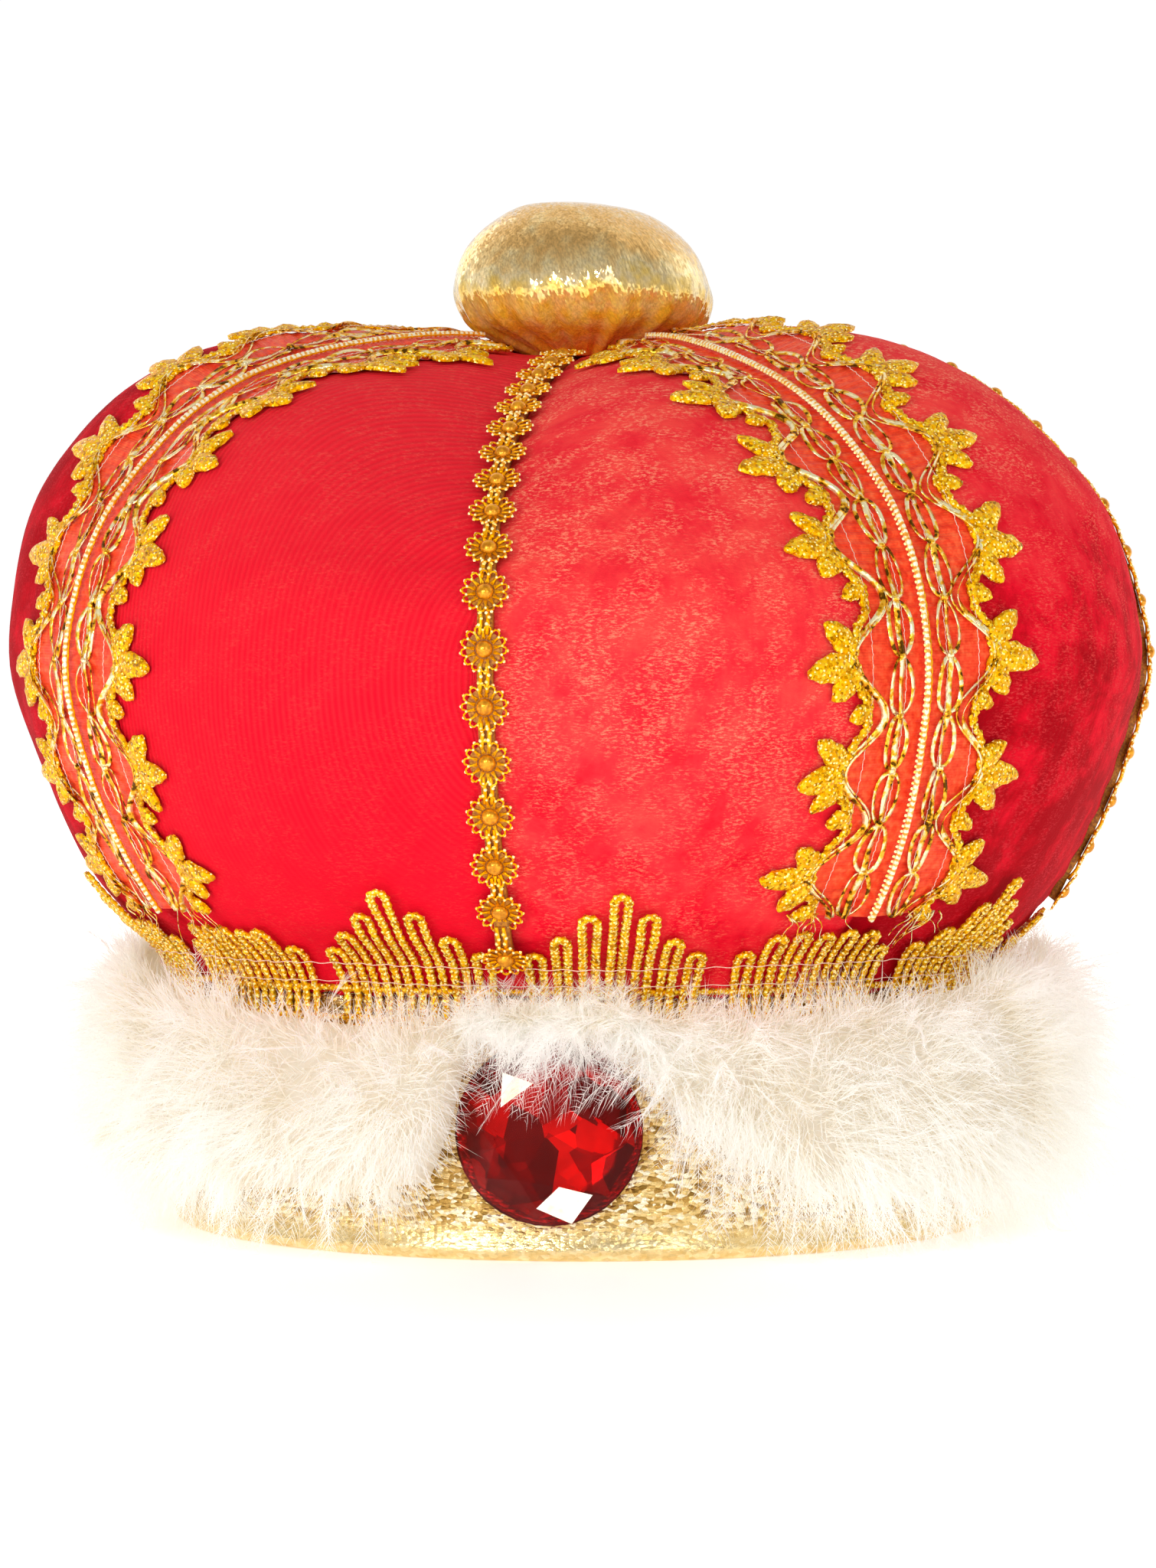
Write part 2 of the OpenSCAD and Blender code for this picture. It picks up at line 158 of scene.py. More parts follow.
# A seam from the puff's foot to the top. The front sags lower than the sides.
# Columns: share of puff_r and of the puff's height at the sides,
# the same two at the front, share of gore_bulge, share of puff_lean.
seam_rows = np.array([
    [0.734, 0.000, 0.734, 0.000, 0.00, 0.00],
    [0.763, 0.056, 0.770, 0.056, 0.05, 0.00],
    [0.822, 0.114, 0.836, 0.107, 0.12, 0.00],
    [0.876, 0.178, 0.890, 0.171, 0.22, 0.00],
    [0.928, 0.268, 0.945, 0.252, 0.34, 0.00],
    [0.967, 0.364, 0.982, 0.345, 0.45, 0.00],
    [1.000, 0.486, 1.000, 0.460, 0.54, 0.03],
    [0.982, 0.608, 0.975, 0.570, 0.62, 0.12],
    [0.942, 0.717, 0.906, 0.643, 0.72, 0.35],
    [0.876, 0.798, 0.818, 0.711, 0.84, 0.65],
    [0.779, 0.881, 0.713, 0.775, 0.90, 0.90],
    [0.662, 0.942, 0.596, 0.833, 0.80, 1.00],
    [0.524, 0.981, 0.472, 0.881, 0.55, 0.90],
    [0.378, 1.000, 0.349, 0.923, 0.30, 0.60],
    [0.233, 1.000, 0.233, 0.955, 0.12, 0.25],
    [0.095, 0.978, 0.095, 0.978, 0.00, 0.00]])
seam_last = len(seam_rows) - 1


def shares_at(rows, v):
    """The columns of a table at row number v, on a smooth curve through its rows."""
    last = len(rows) - 1
    i = np.clip(np.floor(v).astype(int), 0, last - 1)
    t = (v - i)[..., None]
    p, q, r, s = (rows[np.clip(i + k, 0, last)] for k in (-1, 0, 1, 2))
    return (2 * q + t * (r - p) + t**2 * (2 * p - 5 * q + 4 * r - s)
        + t**3 * (3 * q - p - 3 * r + s)) / 2


def seam_section(angle, step):
    """Radius and height of the puff in mm, at degrees from the front and at a row of seam_rows."""
    s = shares_at(seam_rows, step)
    front = np.cos(np.radians(angle))
    sag = np.abs(front) ** 3 * np.where(front > 0, 1, back_sag)
    return (puff_r * (s[..., 0] + (s[..., 2] - s[..., 0]) * sag),
        puff_foot + (puff_top - puff_foot) * (s[..., 1] + (s[..., 3] - s[..., 1]) * sag))


def gore_place(angle):
    """The gore at an angle, and the share of the way from its first seam to its second."""
    turn = np.mod(angle, 360)
    gore = np.clip(np.searchsorted(seam_angles, turn, side="right") - 1, 0, gore_count - 1)
    return gore, (turn - seam_angles[gore]) / (seam_angles[gore + 1] - seam_angles[gore])


def gore_swell(angle, step):
    share = gore_place(angle)[1]
    return gore_bulge * np.maximum(0, shares_at(seam_rows, step)[..., 4]) * np.sin(np.pi * share) ** gore_ease


# Soft folds of the velvet, each a line on the puff.
# Columns: degrees round the crown and step of seam_rows at its start, the same two at its
# end, depth in mm (positive is a hollow), half width in mm.
folds = np.array([
    [20, 5.2, 1, 2.4, 1.7, 7.0],
    [29, 3.4, 9, 1.6, 1.5, 4.5],
    [14, 5.0, 24, 6.6, -0.8, 8.0],
    [3, 6.5, 5, 2.5, 1.3, 7.0],
    [354, 7.5, 352, 3.2, 1.2, 8.0],
    [347, 2.2, 325, 3.0, 0.8, 4.5],
    [335, 5.5, 343, 3.4, -0.9, 9.0],
    [60, 8.6, 76, 6.8, 1.0, 8.0],
    [52, 5.5, 66, 2.4, 1.3, 7.0],
    [300, 7.5, 288, 4.0, 1.1, 8.0],
    [110, 5.5, 122, 2.6, 1.1, 7.0],
    [150, 6.0, 166, 2.8, 1.2, 8.0],
    [196, 5.4, 212, 2.6, 1.1, 7.0],
    [238, 6.2, 256, 3.0, 1.2, 8.0]])
# The puff's mean radius and the length of a step, which turn places on it to mm, and the
# part of a step over which a slope is measured
fold_r, step_mm, near_step = 130, 16.5, 0.02
broad_dent, small_dent = 0.9, 0.5


def off_angle(angle, middle):
    """Degrees from middle round the crown, from -180 to 180."""
    return (angle - middle + 180) % 360 - 180


def dents(angle, step):
    """Shallow dents and soft folds of the cloth in mm, none at its foot and top."""
    a = np.radians(angle)
    out = (broad_dent * np.sin(5 * a + 0.6 * step) * np.sin(0.55 * step + 1)
        + small_dent * np.sin(9 * a - 0.8 * step + 2))
    for start_angle, start_step, end_angle, end_step, depth, width in folds:
        x = off_angle(angle, start_angle) * np.pi / 180 * fold_r
        y = (step - start_step) * step_mm
        run_x, run_y = math.radians(end_angle - start_angle) * fold_r, (end_step - start_step) * step_mm
        t = np.clip((x * run_x + y * run_y) / (run_x**2 + run_y**2), 0, 1)
        out = out - depth * np.exp(-((x - t * run_x) ** 2 + (y - t * run_y) ** 2) / width**2)
    return np.sin(np.pi * step / seam_last) ** 0.5 * out


def on_puff(angle, step, lift):
    """A point in mm on the puff, or lift mm outside it."""
    angle, step, lift = np.broadcast_arrays(*(np.asarray(x, float) for x in (angle, step, lift)))
    r0, z0 = seam_section(angle, np.maximum(step - near_step, 0))
    r1, z1 = seam_section(angle, np.minimum(step + near_step, seam_last))
    run = np.hypot(r1 - r0, z1 - z0)
    out = lift + gore_swell(angle, step) + dents(angle, np.clip(step, 0, seam_last))
    r, z = seam_section(angle, step)
    r, z = r + out * (z1 - z0) / run, z - out * (r1 - r0) / run
    turn = np.radians(angle)
    lean = -puff_lean * shares_at(seam_rows, step)[..., 5]
    return np.stack([r * np.sin(turn) + lean, -r * np.cos(turn), z], -1)


def grid_faces(rows, columns, round_columns=True, round_rows=False):
    """Four-cornered faces over a grid of points, closed round its columns and rows as asked."""
    i, j = np.meshgrid(np.arange(rows if round_rows else rows - 1),
        np.arange(columns if round_columns else columns - 1), indexing="ij")
    i, j = i.ravel(), j.ravel()
    up, right = (i + 1) % rows, (j + 1) % columns
    return np.stack([i * columns + j, i * columns + right, up * columns + right, up * columns + j], 1)


def new_piece(name, parts, surfaces, smooth=True, values=None):
    """One piece of the crown, joined from parts: each is points in mm, a list of face arrays
    and the number of its surface. It rides with the crown."""
    starts = np.cumsum([0] + [len(p[0]) for p in parts])
    faces = [row for start, p in zip(starts, parts) for block in p[1] for row in (block + start).tolist()]
    mesh = bpy.data.meshes.new(name)
    mesh.from_pydata((np.concatenate([p[0] for p in parts]) * mm).tolist(), [], faces)
    for surface in surfaces:
        mesh.materials.append(surface)
    numbers = [p[2] for p in parts for block in p[1] for _ in range(len(block))]
    mesh.polygons.foreach_set("material_index", numbers)
    mesh.polygons.foreach_set("use_smooth", [smooth] * len(faces))
    for key, data in (values or {}).items():
        mesh.attributes.new(key, "FLOAT", "POINT").data.foreach_set("value", np.asarray(data, np.float32))
    mesh.update()
    made = bpy.data.objects.new(name, mesh)
    bpy.context.scene.collection.objects.link(made)
    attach(made, "root")
    return made


gore_columns, velvet_rows, lining_rows = 36, 98, 10
column_share = np.arange(gore_columns) / gore_columns
column_angles = np.concatenate([seam_angles[k] + (seam_angles[k + 1] - seam_angles[k]) * column_share
    for k in range(gore_count)])
velvet_angle, velvet_step = np.meshgrid(column_angles, np.linspace(0, seam_last, velvet_rows))
# The seam draws the velvet in, and small puckers run off it and up from the foot
seam_dip, seam_dip_w = 1.5, 2.0
pucker_h, pucker_w, pucker_pitch = 0.45, 11, 9.5
gather_h, gather_count, gather_steps = 0.9, 74, 2.6
velvet_gore, velvet_share = gore_place(velvet_angle)
gore_w = np.radians(np.diff(seam_angles)[velvet_gore]) * seam_section(velvet_angle, velvet_step)[0]
from_seam = np.minimum(velvet_share, 1 - velvet_share) * gore_w
along_mm = velvet_step * step_mm
lift = (-seam_dip * np.exp(-(from_seam / seam_dip_w) ** 2)
    + pucker_h * np.exp(-from_seam / pucker_w) * np.sin(2 * np.pi * along_mm / pucker_pitch + 2 * velvet_gore)
        * np.minimum(1, from_seam / 3)
    + gather_h * np.maximum(0, 1 - velvet_step / gather_steps) ** 1.5
        * np.sin(np.radians(velvet_angle) * gather_count + np.sin(np.radians(velvet_angle) * 11) * 2))
velvet = on_puff(velvet_angle, velvet_step, lift)
lining_angle, lining_step = np.meshgrid(column_angles, np.linspace(seam_last, 0, lining_rows))
lining = on_puff(lining_angle, lining_step, -velvet_t)
columns = gore_count * gore_columns
rings = lining_rows + velvet_rows
first, last = np.arange(columns), np.arange(columns) + (rings - 1) * columns
ends = rings * columns + np.array([0, 1])
points = np.concatenate([lining.reshape(-1, 3), velvet.reshape(-1, 3), lining[0].mean(0)[None],
    velvet[-1].mean(0)[None]])
closing = [np.stack([np.full(columns, ends[0]), np.roll(first, -1), first], 1),
    np.stack([np.full(columns, ends[1]), last, np.roll(last, -1)], 1)]

# Painted sheen and shade of each gore, from 0 for dark red to 1 for coral, a row for each
# gore in the order of seam_angles. Columns: at its foot, middle, shoulder and top, and how
# crushed the pile is.
painted_sheen_rows = np.array([
    [0.44, 0.66, 0.74, 0.72, 0.60],
    [0.02, 0.14, 0.62, 0.84, 0.70],
    [0.20, 0.30, 0.50, 0.50, 0.60],
    [0.30, 0.30, 0.50, 0.50, 0.60],
    [0.30, 0.50, 0.60, 0.50, 0.60],
    [0.30, 0.40, 0.50, 0.50, 0.60],
    [0.05, 0.02, 0.10, 0.30, 0.55],
    [0.32, 0.38, 0.48, 0.56, 0.06]])
painted_sheen_steps = np.array([1.5, 5.5, 9.0, 12.5])
# Painted sheen and shade along each gore, read off the table for its height
painted_sheen_share = np.zeros_like(velvet_step)
for k in range(gore_count):
    here = velvet_gore == k
    painted_sheen_share[here] = np.interp(velvet_step[here], painted_sheen_steps, painted_sheen_rows[k, :4])
crushed_share = painted_sheen_rows[velvet_gore, 4]
# The brushed ridges of the pile curl round a place on the front seam at its widest
swirl_step, swirl_right = 6.0, 9.5
from_front = np.where(velvet_gore == gore_count - 1, (1 - velvet_share) * gore_w + swirl_right,
    velvet_share * gore_w)
swirl = np.hypot(from_front, (velvet_step - swirl_step) * step_mm * 0.8)
ridge_h = np.where(velvet_gore == gore_count - 1, 1.0, 0.18) * np.clip((velvet_step - 2.5) / 3, 0, 1)


def over_skin(data):
    """Values for the puff's skin: none on its lining, these on its velvet."""
    return np.concatenate([np.zeros(lining.size // 3), data.ravel(), [0, 0]])


def waves(tree, place, pitch_mm):
    """A sine wave of this pitch along a place in mm."""
    turned = node(tree, "Math", {"operation": "MULTIPLY", 1: 2 * math.pi / pitch_mm}, {0: place})
    return node(tree, "Math", {"operation": "SINE"}, {0: turned})


# Polyester velvet with a short cut pile, its colour painted with sheen and shade: dark red in
# the painted shade, coral in the painted sheen, with bright flecks in drifts painted as glints
# of the pile, and with brushed ridges at the front left
velvet_red, tree, where = new_surface("short_pile_velvet")
pile, ridge_place, ridge_share, crush_share = (
    node(tree, "Attribute", {"attribute_name": key}).outputs["Fac"]
    for key in ("pile", "swirl", "ridge", "crush"))
patch_mm, drift_mm, fleck_mm, ridge_mm, ridge_tone = 14, 7, 0.55, 1.5, 0.05
patches = node(tree, "TexNoise", {"grain_mm": patch_mm, "Detail": 5.0, "Roughness": 0.66,
    "Distortion": 0.3}, {"Vector": where})
crush = node(tree, "MapRange", {"range": (0.34, 0.66, -0.36, 0.36)}, {"Value": patches})
crush_and_sheen = node(tree, "Math", {"operation": "MULTIPLY_ADD"}, {0: crush, 1: crush_share, 2: pile})
ridges = node(tree, "Math", {"operation": "MULTIPLY"}, {0: waves(tree, ridge_place, ridge_mm),
    1: ridge_share})
banded = node(tree, "Math", {"operation": "MULTIPLY_ADD", 1: ridge_tone}, {0: ridges, 2: crush_and_sheen})
# From dark red, painted shade, to coral, painted sheen, shifted by the crush and the ridges
crush_and_sheen_tone = node(tree, "ValToRGB", {"stops": [(0.00, "#A80012"), (0.12, "#BC0418"), (0.34, "#E40E28"),
    (0.62, "#F02E38"), (1.00, "#FA4E46")]}, {"Fac": banded})
slant = node(tree, "Mapping", {"vector_type": "TEXTURE", "Rotation": (0.0, 0.6, 0.0),
    "Scale": (1.0, 1.0, 2.4)}, {"Vector": where})
drifts = node(tree, "TexNoise", {"grain_mm": drift_mm, "Detail": 3.0, "Roughness": 0.6}, {"Vector": slant})
drift = node(tree, "MapRange", {"range": (0.38, 0.58, 0.0, 1.0)}, {"Value": drifts})
strokes = node(tree, "Mapping", {"Rotation": (0.0, 0.35, 0.0), "Scale": (0.45, 0.45, 1.3)}, {"Vector": where})
flecks = node(tree, "TexNoise", {"grain_mm": fleck_mm, "Detail": 3.0, "Roughness": 0.7},
    {"Vector": strokes})
fleck = node(tree, "MapRange", {"range": (0.49, 0.66, 0.0, 1.0)}, {"Value": flecks})
# Bright flecks, painted glints of the pile in drifts, strongest where the sheen is painted
fleck_glint_share = node(tree, "Math", {"operation": "MULTIPLY", "use_clamp": True},
    {0: node(tree, "Math", {"operation": "MULTIPLY"}, {0: fleck, 1: drift}),
    1: node(tree, "Math", {"operation": "MULTIPLY_ADD", 1: 0.4}, {0: pile, 2: crush_share})})
fleck_glint_tone = node(tree, "ValToRGB", {"stops": [(0.0, "#D02A3C"), (0.4, "#F4584C"), (0.75, "#FF9A78")]},
    {"Fac": pile})
sheen_and_glint_tone = node(tree, "MixRGB", {}, {"Fac": fleck_glint_share, "Color1": crush_and_sheen_tone, "Color2": fleck_glint_tone})
pile_h = node(tree, "Math", {"operation": "MULTIPLY_ADD", 1: 0.5}, {0: ridges, 2: flecks})
fuzz = node(tree, "Bump", {"Strength": 0.45, "Distance": 0.4 * mm}, {"Height": pile_h})
cloth = node(tree, "BsdfPrincipled", {"Roughness": 0.8, "Specular IOR Level": 0.05, "Sheen Weight": 0.02,
    "Sheen Roughness": 0.4, "Sheen Tint": linear("#FF5048")}, {"Base Color": sheen_and_glint_tone, "Normal": fuzz})
node(tree, "OutputMaterial", {}, {"Surface": cloth})

puff = new_piece("velvet_puff", [(points, [grid_faces(rings, columns)] + closing, 0)], [velvet_red],
    values={"pile": over_skin(painted_sheen_share), "crush": over_skin(crushed_share),
    "swirl": over_skin(swirl), "ridge": over_skin(ridge_h)})
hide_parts("puff")

# Rosette braids
# Gold gimp on the front, side and back seams: a row of small flowers, each of looped gold
# cord round a domed button, tied by two strands. It is couched on over the seam.
flower_r, flower_pitch = 5.5, 12.3
braid_foot_step, side_braid_foot_step = 1.5, 2.5
trim_end_step = seam_last - 0.8
flower_seat, valley_ease = 0.75, 1.2
lace_pass, lace_pass_steps = 2.2, 1.3
track_points = 400


def track(seam, foot_step, end_step=trim_end_step):
    """A seam's steps from foot_step up with their lengths in mm, and some way below the foot."""
    steps = np.linspace(max(0, foot_step - 1), end_step, track_points)
    line = on_puff(seam, steps, 0)
    lengths = np.concatenate([[0], np.cumsum(np.linalg.norm(np.diff(line, axis=0), axis=1))])
    return seam, steps, lengths - np.interp(foot_step, steps, lengths)


def unit(vectors):
    return vectors / np.linalg.norm(vectors, axis=-1, keepdims=True)


def even_turns(count, first=0.0):
    """Angles evenly round a circle."""
    return (np.arange(count) + first) / count * 2 * np.pi


def circle(radius, turns, height):
    """Points at these turns on a level circle."""
    return np.stack([radius * np.cos(turns), radius * np.sin(turns), np.full(len(turns), height)], 1)


def fan(ring, tip):
    """Triangles from a ring of points to one point."""
    return np.stack([ring, np.roll(ring, -1), np.full(len(ring), tip)], 1)


def cord(path, width, thick, sides=5, twist=0.0, closed=False):
    """A cord or tape along path, rows of (across, along, height) on the flat pattern."""
    path = np.asarray(path, float)
    ahead = unit(np.roll(path, -1, 0) - np.roll(path, 1, 0) if closed else np.gradient(path, axis=0))
    side = unit(np.cross([0, 0, 1.0], ahead))
    over = np.cross(ahead, side)
    turn = even_turns(sides, 0.5)
    tilt, width, thick = (np.broadcast_to(x, len(path))[:, None] for x in (twist, width, thick))
    a, b = width / 2 * np.cos(turn), thick / 2 * np.sin(turn)
    a, b = a * np.cos(tilt) - b * np.sin(tilt), a * np.sin(tilt) + b * np.cos(tilt)
    points = path[:, None] + a[..., None] * side[:, None] + b[..., None] * over[:, None]
    faces = [grid_faces(len(path), sides, True, closed)]
    if not closed:
        faces += [np.arange(sides)[None, ::-1], np.arange(sides)[None] + (len(path) - 1) * sides]
    return points.reshape(-1, 3), faces


def bead(radius, height, sides=6, levels=2):
    """A small domed bead at the origin of a flat pattern."""
    rise = np.linspace(0, np.pi / 2, levels + 1)[:-1]
    rings = [circle(radius * np.cos(r), even_turns(sides), height * np.sin(r)) for r in rise]
    cap = fan(np.arange(sides) + (levels - 1) * sides, levels * sides)
    return np.concatenate(rings + [np.array([[0, 0, height]])]), [grid_faces(levels, sides), cap]


def joined(parts):
    """Parts of one surface as one set of points and faces."""
    starts = np.cumsum([0] + [len(p[0]) for p in parts])
    return (np.concatenate([p[0] for p in parts]),
        [block + start for start, p in zip(starts, parts) for block in p[1]])


def moved(part, place):
    return part[0] + np.asarray(place, float), part[1]


def copies(part, origins, axes):
    """Copies of a flat part, each on its own origin and its own three axes."""
    points = origins[:, None] + np.einsum("pi,nij->npj", part[0], axes)
    count, size = len(origins), len(part[0])
    faces = [(block[None] + (np.arange(count) * size)[:, None, None]).reshape(-1, block.shape[1])
        for block in part[1]]
    return points.reshape(-1, 3), faces


def spin(angles):
    """Axes turned round the height of a flat pattern."""
    c, s, zero = np.cos(angles), np.sin(angles), np.zeros(len(angles))
    return np.stack([np.stack([c, s, zero], 1), np.stack([-s, c, zero], 1),
        np.stack([zero, zero, zero + 1], 1)], 1)


petal_count = 13
petal_in, petal_out, petal_w, petal_cord = 2.1, 5.1, 1.95, 0.55
# Radius and height of the beads and the button
tip_bead, outer_bead, tie_bead, button_dome = (0.42, 0.5), (0.34, 0.4), (0.45, 0.5), (1.95, 1.75)
back_sides, back_r, back_z = 20, 4.1, 0.4
strand_reach, strand_w, strand_t = 3.2, 0.95, 0.85
petal_t = np.linspace(-1, 1, 7)
petal_path = np.stack([petal_in + (petal_out - petal_in) * (1 - np.abs(petal_t) ** 2.6),
    petal_w / 2 * np.sin(petal_t * np.pi / 2) * (1.25 - 0.45 * petal_t ** 2),
    0.6 + 0.45 * (1 - np.abs(petal_t))], 1)
petal = cord(petal_path, petal_cord, petal_cord, sides=4)
petal_turns = spin(even_turns(petal_count))
between_turns = spin(even_turns(petal_count, 0.5))
flower_middle = np.zeros((petal_count, 3))
petals = copies(petal, flower_middle, petal_turns)
tip_beads = copies(moved(bead(*tip_bead), (petal_out + 0.15, 0, 0.75)), flower_middle, petal_turns)
outer_beads = copies(moved(bead(*outer_bead), (petal_out - 0.9, 0, 0.9)), flower_middle, between_turns)
button = moved(bead(*button_dome, sides=14, levels=5), (0, 0, 0.45))
flower_back = (circle(back_r, even_turns(back_sides), back_z), [np.arange(back_sides)[None]])
strand_s = np.linspace(-strand_reach, strand_reach, 7)
strand_path = np.stack([0.15 * np.cos(strand_s), strand_s, 0.75 + 0.25 * np.cos(strand_s)], 1)
strand = cord(strand_path, strand_w, strand_t, sides=6)
strands = joined([moved(strand, (-0.85, 0, 0)), moved(strand, (0.75, 0, 0))])
tie_beads = joined([moved(bead(*tie_bead), place) for place in ((-1.2, -1.1, 1.0), (-0.6, 0.3, 1.15),
    (1.1, 0.6, 1.0), (0.5, 1.6, 1.0), (0.6, -0.9, 1.15), (-1.0, 1.6, 0.9))])


def mottled(tree, where, size_mm, stops, detail=2.0):
    """A noise of this grain and the tones that it runs through."""
    noise = node(tree, "TexNoise", {"grain_mm": size_mm, "Detail": detail}, {"Vector": where})
    return noise, node(tree, "ValToRGB", {"stops": stops}, {"Fac": noise})


# Gold gimp cord, viscose wound with metallised film: warm yellow, brown in the hollows
gimp_gold, tree, where = new_surface("gold_gimp_cord")
wrap_mm = 0.55
wound = node(tree, "TexVoronoi", {"grain_mm": wrap_mm}, {"Vector": where})
gold_tone = mottled(tree, where, 2.2, [(0.3, "#DC8C00"), (0.5, "#FFAC00"), (0.7, "#FFC828")], 3.0)[1]
wraps = node(tree, "Bump", {"Strength": 0.8, "Distance": 0.12 * mm, "invert": True}, {"Height": wound})
gimp = node(tree, "BsdfPrincipled", {"Metallic": 0.5, "Roughness": 0.28,
    "Specular Tint": linear("#FFB428")}, {"Base Color": gold_tone, "Normal": wraps})
node(tree, "OutputMaterial", {}, {"Surface": gimp})
# The tips of the winding, shown as white-gold dots of painted glint with a faint painted glow
glint_beads, tree, where = new_surface("painted_glint_picot_tips")
painted_glint_tone = mottled(tree, where, 1.5, [(0.35, "#FFD648"), (0.6, "#FFF4B8")])[1]
tips = node(tree, "BsdfPrincipled", {"Metallic": 0.2, "Roughness": 0.14, "Coat Weight": 0.6,
    "Emission Strength": 0.15}, {"Base Color": painted_glint_tone, "Emission Color": painted_glint_tone})
node(tree, "OutputMaterial", {}, {"Surface": tips})
# The buttons are pressed from gold lacquered foil, smoother and darker amber than the cord
button_gold, tree, where = new_surface("amber_button_foil")
dull, button_tone = mottled(tree, where, 1.1, [(0.35, "#C87C08"), (0.65, "#FFB020")], 3.0)
dimples = node(tree, "Bump", {"Strength": 0.4, "Distance": 0.1 * mm}, {"Height": dull})
pressed = node(tree, "BsdfPrincipled", {"Metallic": 0.5, "Roughness": 0.22},
    {"Base Color": button_tone, "Normal": dimples})
node(tree, "OutputMaterial", {}, {"Surface": pressed})


def flower_lift(seam, step):
    """A flower lies on the gores at both sides of its seam, and at the foot on the lace."""
    half = np.degrees(flower_r / seam_section(seam, step)[0])
    return (flower_seat + gore_swell(seam + half, step) * valley_ease
        + lace_pass * np.clip(braid_foot_step + lace_pass_steps - step, 0, 1))


def seats_on(seam_track, lengths):
    """Origins and axes of flat parts that sit on a seam at these lengths."""
    seam, steps, along = seam_track
    step = np.interp(lengths, along, steps)
    angle = np.full(len(step), float(seam))
    origins = on_puff(angle, step, flower_lift(angle, step))
    ahead = unit(on_puff(angle, np.minimum(step + near_step, seam_last), 0)
        - on_puff(angle, step - near_step, 0))
    side = np.tile([math.cos(math.radians(seam)), math.sin(math.radians(seam)), 0], (len(step), 1))
    return origins, np.stack([side, ahead, np.cross(side, ahead)], 1)


def tape_under(seam_track, reach):
    """The dark tape that the flowers are sewn to, from just under them down to the velvet."""
    past, apart = 3, 1.5
    s = np.arange(-past, reach + past, apart)
    half, low, high = 1.7, -2.6, 0.2
    origins, axes = seats_on(seam_track, s)
    section = np.array([[-half, 0, low], [half, 0, low], [half, 0, high], [-half, 0, high]])
    points = origins[:, None] + np.einsum("pi,nij->npj", section, axes)
    return points.reshape(-1, 3), [grid_faces(len(s), 4)]


# Tan cotton tape, seen between the flowers as a dark amber line
amber_tape, tree, where = new_surface("tan_cotton_backing_tape")
tape_tone = mottled(tree, where, 0.6, [(0.35, "#8A4A08"), (0.65, "#C88414")], 3.0)[1]
tape_cloth = node(tree, "BsdfPrincipled", {"Roughness": 0.6}, {"Base Color": tape_tone})
node(tree, "OutputMaterial", {}, {"Surface": tape_cloth})

for number, (seam, foot) in enumerate(((0, braid_foot_step), (90, side_braid_foot_step),
        (180, braid_foot_step), (270, side_braid_foot_step)), 1):
    seam_track = track(seam, foot)
    flowers = int(seam_track[2][-1] // flower_pitch) + 1
    seats, seat_axes = seats_on(seam_track, np.arange(flowers) * flower_pitch)
    random = np.random.default_rng(number)
    turned_axes = np.einsum("nij,njk->nik", spin(random.uniform(0, 0.5, flowers)), seat_axes)
    ties, tie_axes = seats_on(seam_track, (np.arange(flowers - 1) + 0.5) * flower_pitch)
    braid = new_piece(f"flower_braid_{number}", [
        (*copies(petals, seats, turned_axes), 0), (*copies(strands, ties, tie_axes), 0),
        (*copies(joined([tip_beads, outer_beads]), seats, turned_axes), 1),
        (*copies(tie_beads, ties, tie_axes), 1),
        (*copies(button, seats, turned_axes), 2), (*copies(flower_back, seats, turned_axes), 3),
        (*tape_under(seam_track, (flowers - 1) * flower_pitch), 3)],
        [gimp_gold, glint_beads, button_gold, amber_tape])
    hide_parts(f"rosette_braid_{number}")

# Galloons
# A wide trim on each diagonal seam, the same on both sides of its middle: coral ribbon in
# fine cross pleats, a chain of gold foil rings over a foil strip, a foil tape in waves, and
# leaves of glitter cord along both edges. Chain stitches in pale thread hold it down.
ribbon_in, ribbon_out, leaf_pitch = 15.5, 20.5, 25.0
ribbon_half, ribbon_room = 20.0, 0.38
galloon_foot_step = 2.25
galloon_lift, bridge_lift, bridge_w = 0.9, 1.2, 7.0
pleat_pitch, pleat_h = 2.6, 0.26
# Length in mm between the points of each cord
glitter_step, foil_step, stitch_step = 0.85, 1.15, 0.62
chain_x, link_pitch, link_half, link_reach, link_points = 6.9, 12.5, 3.0, 5.9, 22
wave_x, wave_swing = 16.0, 4.9
# Width and thickness of the foil of the rings, their knots, the strip under them, the tape
# in waves with its thin mate, and of the two cords of a glitter edge
ring_foil, knot_foil, strip_foil = (1.35, 0.3), (1.25, 0.6), (2.0, 0.18)
wave_foil, mate_foil = (2.0, 0.2), (0.8, 0.25)
outer_glitter, inner_glitter = (1.9, 1.3), (1.1, 0.9)
stitch_lines, stitch_w, stitch_t = (-15.2, -5.9, 5.9, 15.2), 0.22, 0.2
frayed_ends, frayed_right, frayed_left = 9, 12, 9


def lay_on(seam_track, pattern):
    """Lays a flat pattern in mm on the puff along a seam, narrower where the seams close up."""
    seam, steps, lengths = seam_track
    step = np.interp(pattern[:, 1], lengths, steps)
    room = seam_section(np.full(len(step), float(seam)), step)[0]
    across = pattern[:, 0] * np.minimum(1, ribbon_room * room / ribbon_half)
    bridge = bridge_lift * np.exp(-(across / bridge_w) ** 2)
    return on_puff(seam + np.degrees(across / room), step, pattern[:, 2] + galloon_lift + bridge)


def edge_at(s):
    """Half the ribbon's width: narrow between two leaves, wide under a leaf."""
    return ribbon_in + (ribbon_out - ribbon_in) * np.abs(np.sin(np.pi * s / leaf_pitch)) ** 1.6


